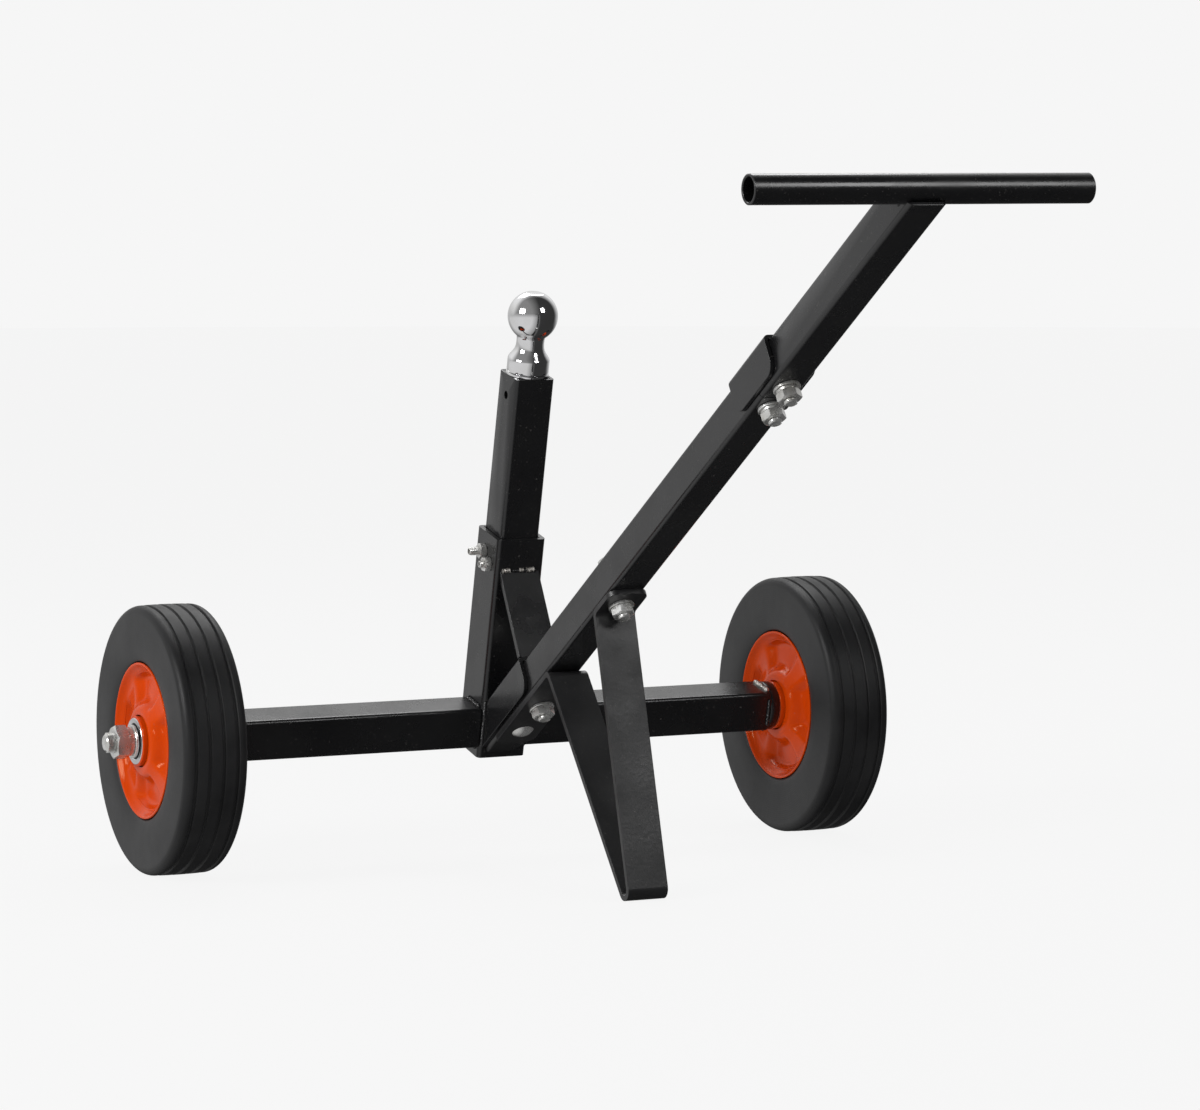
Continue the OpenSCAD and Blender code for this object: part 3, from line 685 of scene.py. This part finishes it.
def tyre_profile():
    """From the top of the outer bead, over the tread, to the inner bead and back inside."""
    side = [(73.9, 24.5), (74.0, 27.0), (74.9, 28.3), (76.8, 29.4), (80, 30.4), (84.5, 31.15), (91, 31.6),
            (99, 31.75), (107, 31.6), (115, 31.35)]
    side += [(SHOULDER_AT + SHOULDER_R * math.cos(math.radians(d)),
              SHOULDER_OUT + SHOULDER_R * math.sin(math.radians(d))) for d in range(84, 3, -8)]
    tread = [(tread_radius(23.2 - 0.4 * k), 23.2 - 0.4 * k) for k in range(117)]
    inner = [(r, -x) for r, x in reversed(side)]
    return side + tread + inner + [(66.8, -20), (66.8, 20), side[0]]


def eased(value):
    """A soft step: 0 below 0, 1 above 1, and no corner in between."""
    value = max(0.0, min(1.0, value))
    return value * value * (3 - 2 * value)


def rim_height(r, a):
    """Height of the pressed disc above the wheel's middle, at a radius and an angle."""
    stations = ((24, 31.0), (30, 30.6), (36, 28.0), (43, 25.2), (52, 23.4), (60, 22.6), (65, 23.2),
                (68, 25.0), (70.4, 28.0))
    for (r0, z0), (r1, z1) in zip(stations, stations[1:]):
        if r <= r1:
            base = z0 + (z1 - z0) * max(0.0, (r - r0) / (r1 - r0))
            break
    else:
        base = stations[-1][1]
    swing = math.degrees(abs((a + math.pi / 4) % (math.pi / 2) - math.pi / 4))
    pocket = eased((r - 33) / 7) * eased((66 - r) / 6) * eased((35 - swing) / 13)
    return base - POCKET_DEPTH * pocket


def rim_disc(name, place):
    """One pressed half of the rim: hub flange, dished web with its pockets, and rolled lip."""
    radii = [24.2, 27, 30, 32.5, 35, 38, 41, 44, 48, 52, 56, 59, 61.5, 63.5, 65.5, 67.5, 69.2, 70.4, 71.4,
             72.6, 73.4, 73.6, 72.8]
    lift = {71.4: 29.2, 72.6: 29.5, 73.4: 28.9, 73.6: 27.6, 72.8: 26.6}
    count = 120
    points = [(r * math.cos(math.tau * k / count), r * math.sin(math.tau * k / count),
               lift.get(r, rim_height(r, math.tau * k / count)))
              for r in radii for k in range(count)]
    faces = [(j * count + k, (j + 1) * count + k, (j + 1) * count + (k + 1) % count,
              j * count + (k + 1) % count) for j in range(len(radii) - 1) for k in range(count)]
    disc = piece_from(name, points, [], faces)
    disc.data.transform(place)
    if place.is_negative:
        disc.data.flip_normals()
    disc.data.polygons.foreach_set("use_smooth", [True] * len(disc.data.polygons))
    walled(disc, 2.0)
    soft = disc.modifiers.new("pressed curves", "SUBSURF")
    soft.levels = soft.render_levels = 1
    return disc


RACE = [(16.9, 35.2), (17.3, 35.6), (19.6, 35.6), (19.9, 35.75), (21.4, 35.7), (21.8, 35.3), (21.8, 35.0),
        (19.95, 34.9), (19.95, 24.4), (19.5, 24.0), (16.9, 24.0), (16.9, 35.2)]
SHIELD = [(13.2, 34.6), (13.5, 34.8), (14.3, 34.75), (14.8, 34.2), (15.9, 34.2), (16.3, 34.8), (16.9, 34.8),
          (16.9, 34.0), (13.2, 34.0), (13.2, 34.6)]
SLEEVE = [(20.0, 34.4), (20.4, 35.0), (22.8, 35.0), (23.5, 34.2), (23.5, -34.2), (22.8, -35.0),
          (20.4, -35.0), (20.0, -34.4), (20.0, 34.4)]


def both_faces(name, profile, middle, facing_in):
    """The same turned ring at the outer and at the inner face of a hub."""
    rings = [lathed("ring", profile, middle), lathed("ring", profile, facing_in)]
    rings[1].data.flip_normals()
    pair = joined(name, rings)
    smooth(pair.data)
    return pair


for side in ("left", "right"):
    wheel = side + "_wheel"
    middle = ON_STUD[side] @ moved(0, 0, WHEEL_X)
    facing_in = middle @ Matrix.Scale(-1, 4, (0, 0, 1))

    tyre = lathed("tyre_" + side, tyre_profile(), middle, 128, 38)
    finished(tyre, tyre_rubber[side], wheel, "tyre", "tyre_" + side)

    for half, place in (("rim_outer_", middle), ("rim_inner_", facing_in)):
        finished(rim_disc(half + side, place), orange_enamel, wheel, "orange_paint", half + side)
    # Welded band that carries the tyre between the two pressed discs
    band = lathed("rim_band_" + side, ring_profile(66.6, 64.4, -22.5, 22.5, 0.4), middle, 96)
    finished(band, orange_enamel, wheel, "orange_paint")

    sleeve = lathed("hub_sleeve_" + side, SLEEVE, middle)
    finished(sleeve, orange_enamel, wheel, "orange_paint", "hub_sleeve_" + side)
    races = both_faces("bearing_outer_races_" + side, RACE, middle, facing_in)
    finished(races, ground_steel, wheel, "bearing_steel", "bearing_outer_races_" + side)
    shields = both_faces("bearing_seals_" + side, SHIELD, middle, facing_in)
    finished(shields, seal_rubber, wheel, "seal_rubber", "bearing_seals_" + side)

# ---- hub hardware on the frame ------------------------------------------------------

studs, nuts, washers, collars, races = [], [], [], [], []
for side in ("left", "right"):
    axis = ON_STUD[side]
    studs.append(lathed("stud", [(0, 399), (6.8, 399), (8.3, 397.5), (8.3, 386), (9.45, 386),
                                 (9.5, 385.6), (9.5, 264.4), (9.2, 264), (0, 264)], axis, 48))
    studs.append(thread("stud_thread", 19, 1.5, 6, axis @ moved(0, 0, 388)))
    nuts.append(hexagon("nut", 28.6, 12.5, 9.4, axis @ moved(0, 0, 378), True, 0.35))
    washers.append(lathed("washer", ring_profile(15.5, 9.7, 370.05, 373, 0.4), axis, 64))
    washers.append(lathed("spring_washer", ring_profile(13.5, 9.7, 373.05, 377.95, 0.6), axis, 64))
    collars.append(lathed("collar", [(9.5, 297.9), (22.6, 297.9), (23.4, 297.5), (24, 296.6), (24, 288.6),
                                     (23.6, 288), (9.5, 288), (9.5, 297.9)], axis, 72))
    for low, high in ((298.05, 309.95), (358.05, 369.95)):
        races.append(lathed("inner_race", ring_profile(12.6, 9.55, low, high, 0.5), axis, 64))
plated(studs, "axle_studs")
plated(nuts, "hub_nuts")
plated(washers, "hub_washers")
black_coated(joined("axle_end_collars", collars), "axle_end_collars")
finished(joined("bearing_inner_races", races), ground_steel, "frame", "bearing_steel",
         "bearing_inner_races")

# ---- welded frame -------------------------------------------------------------------

for side, sign in (("left", -1), ("right", 1)):
    tube = square_tube("axle_" + side, AXLE_TUBE, 3, 4, (25, 25), (AXLE_END, AXLE_END),
                       IN_FRAME @ turned_about("Y", sign * 90))
    black_coated(tube, "axle_" + side)

post = square_tube("centre_post", 50, 4.5, 4.5, (-30, -30), (190, 190), ON_POST)
black_coated(post, "centre_post")

# The two folded brackets share their section: half width, web and flange tips
HALF_WIDTH, WEB, TIPS = 21.7, 21.5, -13.5
foot = channel("foot_bracket", HALF_WIDTH, WEB, TIPS, WEB * SIN_H / COS_H, TIPS * SIN_H / COS_H, 110,
               False, ON_HANDLE)
black_coated(foot, "foot_bracket")

splice = channel("splice_bracket", HALF_WIDTH, WEB, TIPS, SPLICE_AT - 39, SPLICE_AT - 39,
                 SPLICE_AT + 39, True, ON_HANDLE)
black_coated(splice, "splice_bracket")

BRACE_RISE = math.radians(3)


def brace_edge(half):
    """Where one face of the brace starts and where it meets the post, beside the handle."""
    y, z = 21.64 - half * math.sin(BRACE_RISE), 107.5 + half * math.cos(BRACE_RISE)
    slant = COS_H / SIN_H
    run = (z * slant - y) / (math.cos(BRACE_RISE) - slant * math.sin(BRACE_RISE))
    return (y, z), (y + run * math.cos(BRACE_RISE), z + run * math.sin(BRACE_RISE))


brace_low, brace_high = brace_edge(-2.5), brace_edge(2.5)
brace = plate("brace_strap", [brace_low[0], brace_low[1], brace_high[1], brace_high[0]], 20, ON_HANDLE)
black_coated(brace, "brace_strap")

# The foot of the lower tube is cut upright, a millimetre off the post
foot_cut = [(1 + y * SIN_H) / COS_H for y in (-HANDLE_TUBE / 2, HANDLE_TUBE / 2)]
lower = square_tube("handle_lower_tube", HANDLE_TUBE, 3, 4, foot_cut, (SPLICE_AT - 0.2, SPLICE_AT - 0.2),
                    ON_HANDLE)
black_coated(lower, "handle_lower_tube")
grip_at = ON_HANDLE @ moved(0, 0, GRIP_AT) @ turned_about("Y", 90)
upper = settled(square_tube("handle_upper_tube", HANDLE_TUBE, 3, 4, (SPLICE_AT + 0.2, SPLICE_AT + 0.2),
                            (973.4, 959), ON_HANDLE))
carved(upper, lathed("saddle_cutter", [(0, 40), (12.45, 40), (12.45, -40), (0, -40)], grip_at))
black_coated(upper, "handle_upper_tube")

grip = lathed("grip_bar", ring_profile(12.5, 10, -155, 155, 0.6), grip_at)
black_coated(grip, "grip_bar")

# ---- stand --------------------------------------------------------------------------

# The strap's middle lies this far under the handle's centre line
STRAP_BELOW = 20.0
STRAP_T = 5
foot_r, foot_reach = 7.5, 347
foot_z = (-TYRE_R + foot_r + STRAP_T / 2 + foot_reach * math.sin(LEAN)) / math.cos(LEAN)
foot_centre = Vector((-foot_reach, foot_z))


def leg_heading(bend, hand):
    """Heading of a leg that leaves a bend and runs tangent to the foot's round."""
    reach = foot_centre - bend
    return math.atan2(reach.y, reach.x) + hand * math.asin(foot_r / reach.length)


front_bend = Vector(handle_point(280, STRAP_BELOW))
rear_bend = Vector(handle_point(158, STRAP_BELOW))
front_way, rear_way = leg_heading(front_bend, -1), leg_heading(rear_bend, 1)
front_leg = Vector((math.cos(front_way), math.sin(front_way)))
rear_leg = Vector((math.cos(rear_way), math.sin(rear_way)))
# The point where the two legs would meet without the foot's round
tip = front_bend + front_leg * ((rear_bend - front_bend).cross(rear_leg) / front_leg.cross(rear_leg))
stand = bent_strap("stand_strap", [handle_point(320, STRAP_BELOW), front_bend, tip, rear_bend,
                                   handle_point(12, STRAP_BELOW)],
                   [0, 7, foot_r, 7, 0], 40, STRAP_T, 10, IN_FRAME)
finished(stand, strap_coat, "frame", "strap_paint", "stand_strap")

# ---- ball post ----------------------------------------------------------------------

POST_TOP = 347
ball_tube = settled(square_tube("ball_post", AXLE_TUBE, 3, 4, (138, 138), (POST_TOP, POST_TOP), ON_POST))
pin_cutter = lathed("pin_cutter", [(0, 30), (4, 30), (4, -30), (0, -30)],
                    ON_POST @ moved(0, 0, POST_TOP - 20) @ turned_about("Y", 90), 32)
carved(ball_tube, pin_cutter)
black_coated(ball_tube, "ball_post", "ball_post")

cap = plate("ball_post_cap", [(-16.9, 342), (16.9, 342), (16.9, 346.6), (-16.9, 346.6)], 16.9, ON_POST)
black_coated(cap, "ball_post_cap", "ball_post")

BALL_R, BALL_AT = 23.8, 404
ball_arc = [(BALL_R * math.cos(math.radians(d)), BALL_AT + BALL_R * math.sin(math.radians(d)))
            for d in range(68, -53, -4)]
ball_profile = ([(0, 426.4), (7.4, 426.4), (8.6, 426.2)] + ball_arc
                + [(13.7, 384.2), (13.3, 382.4), (13.2, 378.5), (13.5, 374.5), (14.4, 371.4), (16.2, 368.4),
                   (18.6, 365.2), (19.4, 363.9), (19.9, 362.6), (20, 361), (20, 351), (19.5, 349.9),
                   (19, 349.55), (9.5, 349.5), (9.5, 333), (8.2, 331.5), (0, 331.5)])
ball = lathed("tow_ball", ball_profile, ON_POST, 96)
finished(ball, chrome, "ball_post", "chrome", "tow_ball")
ring = lathed("ball_washer", ring_profile(20.5, 10, POST_TOP, POST_TOP + 2.5, 0.5), ON_POST)
finished(ring, chrome, "ball_post", "zinc_steel", "ball_washer")
shank_nut = hexagon("ball_shank_nut", 27, 10, 9.5, ON_POST @ moved(0, 0, 332), True)
finished(shank_nut, zinc, "ball_post", "zinc_steel", "ball_shank_nut")

# ---- clamp screws -------------------------------------------------------------------

screws, lock_nuts = [], []
for back, height, end, spin in ((-4, 162, 35.4, 0.2), (9, 171, 41.4, 0.75)):
    side_face = IN_FRAME @ moved(0, back, height) @ turned_about("Y", -90)
    socket = [(0, end - 3), (2.3, end - 3), (2.3, end), (3.0, end), (3.5, end - 0.7), (3.5, 22),
              (2.8, 20.4), (0, 20.4)]
    screws.append(lathed("clamp_screw", socket, side_face, 36))
    screws.append(thread("clamp_thread", 8, 1.25, int((end - 23) / 1.25), side_face @ moved(0, 0, 21.5)))
    lock_nuts.append(hexagon("lock_nut", 13, 6.5, 3.7, side_face @ moved(0, 0, 25), True, spin))
plated(screws, "clamp_screws")
plated(lock_nuts, "clamp_lock_nuts")

# ---- bolts through the handle -------------------------------------------------------

WASHER_T = 2.5


def handle_bolt(name, along, head_at, nut_at, spin, spring=0.0):
    """(bolt, washer, nut) through the handle: the head above it and the nut under it. A
    spring washer goes under the nut where its thickness is given."""
    head = under_handle(along, -head_at)
    grip_length = head_at + nut_at + spring
    shank = [(0, grip_length + 13.5), (4.6, grip_length + 13.5), (5.2, grip_length + 12.9),
             (5.2, grip_length + 2), (5.9, grip_length), (5.9, 0.2), (0, 0.2)]
    bolt = joined(name + "_bolt", [
        hexagon("head", 19, 7.5, 0.6, head @ turned_about("X", 180), False, spin),
        lathed("shank", shank, head, 36),
        thread("bolt_thread", 12, 1.5, 2, head @ moved(0, 0, grip_length + 9.8))])
    on_nut = under_handle(along, nut_at)
    washer = lathed(name + "_washer", ring_profile(12, 6.3, 0, WASHER_T, 0.4), on_nut, 48)
    if spring:
        washer = joined(name + "_washer", [washer, lathed(
            "spring_washer", ring_profile(10, 6.3, WASHER_T + 0.1, WASHER_T + spring - 0.1, 0.5),
            on_nut, 48)])
    nut = hexagon(name + "_nut", 19, 8, 5.6, on_nut @ moved(0, 0, WASHER_T + spring), True, spin + 0.3)
    return bolt, washer, nut


pairs = [handle_bolt("splice", SPLICE_AT - 17, WEB, HANDLE_TUBE / 2, 0.42, 2.5),
         handle_bolt("splice", SPLICE_AT + 17, WEB, HANDLE_TUBE / 2, 0.6, 2.5)]
for kind, node in enumerate(("splice_bolts", "splice_washers", "splice_nuts")):
    plated([pair[kind] for pair in pairs], node)
under_strap = STRAP_BELOW + STRAP_T / 2
for name, along, head_at, spin in (("stand", 297, HANDLE_TUBE / 2, 0.25), ("foot", 89.5, WEB, 0.5)):
    for piece, kind in zip(handle_bolt(name, along, head_at, under_strap, spin), ("bolt", "washers", "nut")):
        finished(piece, zinc, "frame", "zinc_steel", name + "_" + kind)

dome = [(0, 4.5)] + [(14.5 * math.sin(math.radians(d)), 14.5 * math.cos(math.radians(d)) - 10)
                     for d in range(6, 46, 5)] + [(10.4, 0.3), (10.2, 0), (5.9, 0), (5.9, -17), (0, -17)]
button = lathed("foot_button_screw", dome, under_handle(38, under_strap), 64, 50)
finished(button, zinc, "frame", "zinc_steel", "foot_button_screw")

# ---- weld beads ---------------------------------------------------------------------

coated_beads, bright_beads = [], []


def bead(beads, start, stop, size, place=IN_FRAME, step=1.5, uneven=0.05):
    """Runs one more bead, coated or in bright metal."""
    beads.append(weld_bead("bead", start, stop, size, place, step, uneven))


bracket_top = WEB / COS_H
brace_top = brace_high[1][1] / SIN_H
bead(coated_beads, (-18, -20.6, bracket_top + 1.0), (18, -20.6, bracket_top + 1.0), 2.4)
bead(coated_beads, (-8, -20.8, brace_top + 0.2), (18, -20.8, brace_top + 0.2), 1.8)
# Bright metal specks laid over the brace's coated top bead
for left, right, size in ((-18.5, -10, 2.2), (-1, 4, 1.9), (6, 15, 2.3)):
    bead(bright_beads, (left, -20.9, brace_top + 0.5), (right, -20.9, brace_top + 0.7), size,
         IN_FRAME, 2.1, 0.16)
for sign in (-1, 1):
    bead(coated_beads, (sign * 22.0, -20.4, -18), (sign * 22.0, -20.4, 28), 2.2)
    for over in (-1, 1):
        bead(coated_beads, (sign * 25.5, -15, over * 20.5), (sign * 25.5, 15, over * 20.5), 2.4)
    bead(coated_beads, (sign * 25.5, 20.5, -15), (sign * 25.5, 20.5, 15), 2.4)
    # Round the axle's end, where only the top bead is bright metal and the other three are coated
    for turn, size, uneven, beads in ((0, 2.5, 0.16, bright_beads), (1, 2.0, 0.08, coated_beads),
                                      (2, 2.0, 0.08, coated_beads), (3, 2.0, 0.08, coated_beads)):
        across = IN_FRAME @ turned_about("X", 90 * turn)
        bead(beads, (sign * 287.0, -14, 20.4), (sign * 287.0, 14, 20.4), size, across, 2.0, uneven)
    bead(coated_beads, (sign * 17.0, -9, 958), (sign * 17.0, 9, 958), 1.8, ON_HANDLE)
coated = joined("weld_beads", coated_beads)
smooth(coated.data, 60)
finished(coated, black_coat, "frame", "weld_metal", "weld_beads")
# The upward-facing beads in bright metal
bare = joined("weld_beads_bright", bright_beads)
smooth(bare.data, 60)
finished(bare, bright_weld, "frame", "weld_metal")

# ---- carried-over nodes -------------------------------------------------------------

KEPT = {"bearing_balls_left": ground_steel, "bearing_balls_right": ground_steel,
        "hub_spacer_sleeves": zinc, "foot_captive_nut": zinc}
for node, material in KEPT.items():
    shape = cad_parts[node].data
    shape.materials.clear()
    shape.materials.append(material)

# ---- studio -------------------------------------------------------------------------


def pale_surface(name, shade, glow):
    """Paper that takes only a faint shadow."""
    mat, nodes, links = bare_material(name)
    paper = nodes.new("ShaderNodeBsdfDiffuse")
    paper.label = "Paper that takes the shadow"
    light = nodes.new("ShaderNodeEmission")
    light.label = "Evenly lit paper"
    both = nodes.new("ShaderNodeAddShader")
    out = nodes.new("ShaderNodeOutputMaterial")
    for node, x, y in ((paper, -300, 100), (light, -300, -100), (both, 0, 0), (out, 200, 0)):
        node.location = (x, y)
    paper.inputs["Color"].default_value = (shade, shade, shade, 1)
    light.inputs["Color"].default_value = (1, 1, 1, 1)
    light.inputs["Strength"].default_value = glow
    links.new(paper.outputs["BSDF"], both.inputs[0])
    links.new(light.outputs["Emission"], both.inputs[1])
    links.new(both.outputs["Shader"], out.inputs["Surface"])
    return mat


def studio_surface(name, shape, height, shade, glow):
    """A surface of the studio, left out of what shiny pieces reflect."""
    mesh = bpy.data.meshes.new(name)
    shape.to_mesh(mesh)
    shape.free()
    mesh.transform(Matrix.Translation((0, 0, height)))
    mesh.materials.append(pale_surface(name + "_paper", shade, glow))
    surface = bpy.data.objects.new(name, mesh)
    bpy.context.scene.collection.objects.link(surface)
    surface.visible_glossy = False
    return surface


STUDIO_R = 14
ground = bmesh.new()
bmesh.ops.create_circle(ground, cap_ends=True, segments=96, radius=STUDIO_R)
wall = bmesh.new()
bmesh.ops.create_cone(wall, cap_ends=False, segments=96, radius1=STUDIO_R, radius2=STUDIO_R, depth=14)
bmesh.ops.reverse_faces(wall, faces=wall.faces)
floor = studio_surface("floor", ground, -0.0006, 0.03, 0.887)
backdrop = studio_surface("backdrop", wall, 6.9, 0.0, 0.922)

world = bpy.data.worlds.new("studio")
bpy.context.scene.world = world
world.use_nodes = True
sky, sky_links = world.node_tree.nodes, world.node_tree.links
sky.clear()
look = sky.new("ShaderNodeTexCoord")
look.label = "Way the light comes from"
parts = sky.new("ShaderNodeSeparateXYZ")
parts.label = "Front to back, and height"
behind = sky.new("ShaderNodeMapRange")
behind.label = "Bright paper behind"
beside = sky.new("ShaderNodeMapRange")
beside.label = "Open on the left"
storey = sky.new("ShaderNodeMapRange")
storey.label = "White floor in front, greyer room over it"
beside_dim = sky.new("ShaderNodeMath")
beside_dim.label = "What stands in front on the left"
around = sky.new("ShaderNodeMath")
around.label = "The brighter of the two"
higher = sky.new("ShaderNodeMapRange")
higher.label = "Paper brighter towards its top"
lit = sky.new("ShaderNodeMath")
lit.label = "Brightness by height"
above = sky.new("ShaderNodeMapRange")
above.label = "Fades towards the dark floor"
room = sky.new("ShaderNodeMath")
room.label = "No paper below"
dim = sky.new("ShaderNodeMath")
dim.label = "What little the room gives back"
glow = sky.new("ShaderNodeBackground")
sky_out = sky.new("ShaderNodeOutputWorld")
for node, x, y in ((look, -1500, 0), (parts, -1300, 0), (behind, -1060, 260), (higher, -1060, 20),
                   (lit, -860, 160), (above, -1060, -220), (room, -680, 60), (beside, -1060, -460),
                   (storey, -1060, -700), (beside_dim, -860, -520), (around, -480, -120),
                   (dim, -280, -120), (glow, -80, 0), (sky_out, 120, 0)):
    node.location = (x, y)
for node, first, last in ((behind, 0.05, 0.6), (beside, 0.2, -0.45), (storey, -0.1, 0.2),
                          (higher, 0.0, 0.45), (above, -0.4, -0.12)):
    node.inputs["From Min"].default_value = first
    node.inputs["From Max"].default_value = last
for node in (beside_dim, lit, room):
    node.operation = "MULTIPLY"
storey.inputs["To Min"].default_value = 0.85
storey.inputs["To Max"].default_value = 0.3
around.operation = "MAXIMUM"
higher.inputs["To Min"].default_value = 0.64
higher.inputs["To Max"].default_value = 1.1
dim.operation = "ADD"
dim.inputs[1].default_value = 0.05
sky_links.new(look.outputs["Generated"], parts.inputs["Vector"])
sky_links.new(parts.outputs["Y"], behind.inputs["Value"])
sky_links.new(parts.outputs["Z"], higher.inputs["Value"])
sky_links.new(behind.outputs["Result"], lit.inputs[0])
sky_links.new(higher.outputs["Result"], lit.inputs[1])
sky_links.new(parts.outputs["Z"], above.inputs["Value"])
sky_links.new(lit.outputs["Value"], room.inputs[0])
sky_links.new(above.outputs["Result"], room.inputs[1])
sky_links.new(parts.outputs["X"], beside.inputs["Value"])
sky_links.new(beside.outputs["Result"], beside_dim.inputs[0])
sky_links.new(parts.outputs["Z"], storey.inputs["Value"])
sky_links.new(storey.outputs["Result"], beside_dim.inputs[1])
sky_links.new(room.outputs["Value"], around.inputs[0])
sky_links.new(beside_dim.outputs["Value"], around.inputs[1])
sky_links.new(around.outputs["Value"], dim.inputs[0])
sky_links.new(dim.outputs["Value"], glow.inputs["Strength"])
sky_links.new(glow.outputs["Background"], sky_out.inputs["Surface"])


def softbox(name, at, aim, width, height, watts):
    """A soft lamp at a place in metres, aimed at a point."""
    lamp = bpy.data.lights.new(name, "AREA")
    lamp.shape = "RECTANGLE"
    lamp.size, lamp.size_y = width, height
    lamp.energy = watts
    holder = bpy.data.objects.new(name, lamp)
    at, aim = Vector(at), Vector(aim)
    holder.matrix_world = Matrix.Translation(at) @ (at - aim).to_track_quat("Z", "Y").to_matrix().to_4x4()
    bpy.context.scene.collection.objects.link(holder)


softbox("key_softbox", (-3.4, -0.6, 1.9), (0, 0, 0.3), 1.6, 1.2, 110)
softbox("top_softbox", (0.5, 1.9, 2.6), (0, 0, 0.3), 2.2, 1.4, 45)
softbox("fill_softbox", (1.4, -2.7, 2.1), (0, 0, 0.3), 1.0, 1.1, 27)

# ---- camera -------------------------------------------------------------------------

azimuth, drop = math.radians(25.293), math.radians(4.951)
sight = Vector((math.sin(azimuth) * math.cos(drop), math.cos(azimuth) * math.cos(drop), -math.sin(drop)))
aim_point = AXLE + Vector((0.11174, 0, 0.15685))
lens = bpy.data.cameras.new("camera")
lens.sensor_width = 36
lens.lens = 4652 / 1200 * 36
lens.clip_end = 60
camera = bpy.data.objects.new("camera", lens)
camera.matrix_world = (Matrix.Translation(aim_point - sight * 4.538668)
                       @ (-sight).to_track_quat("Z", "Y").to_matrix().to_4x4())
bpy.context.scene.collection.objects.link(camera)
bpy.context.scene.camera = camera
bpy.context.scene.view_settings.view_transform = "Standard"
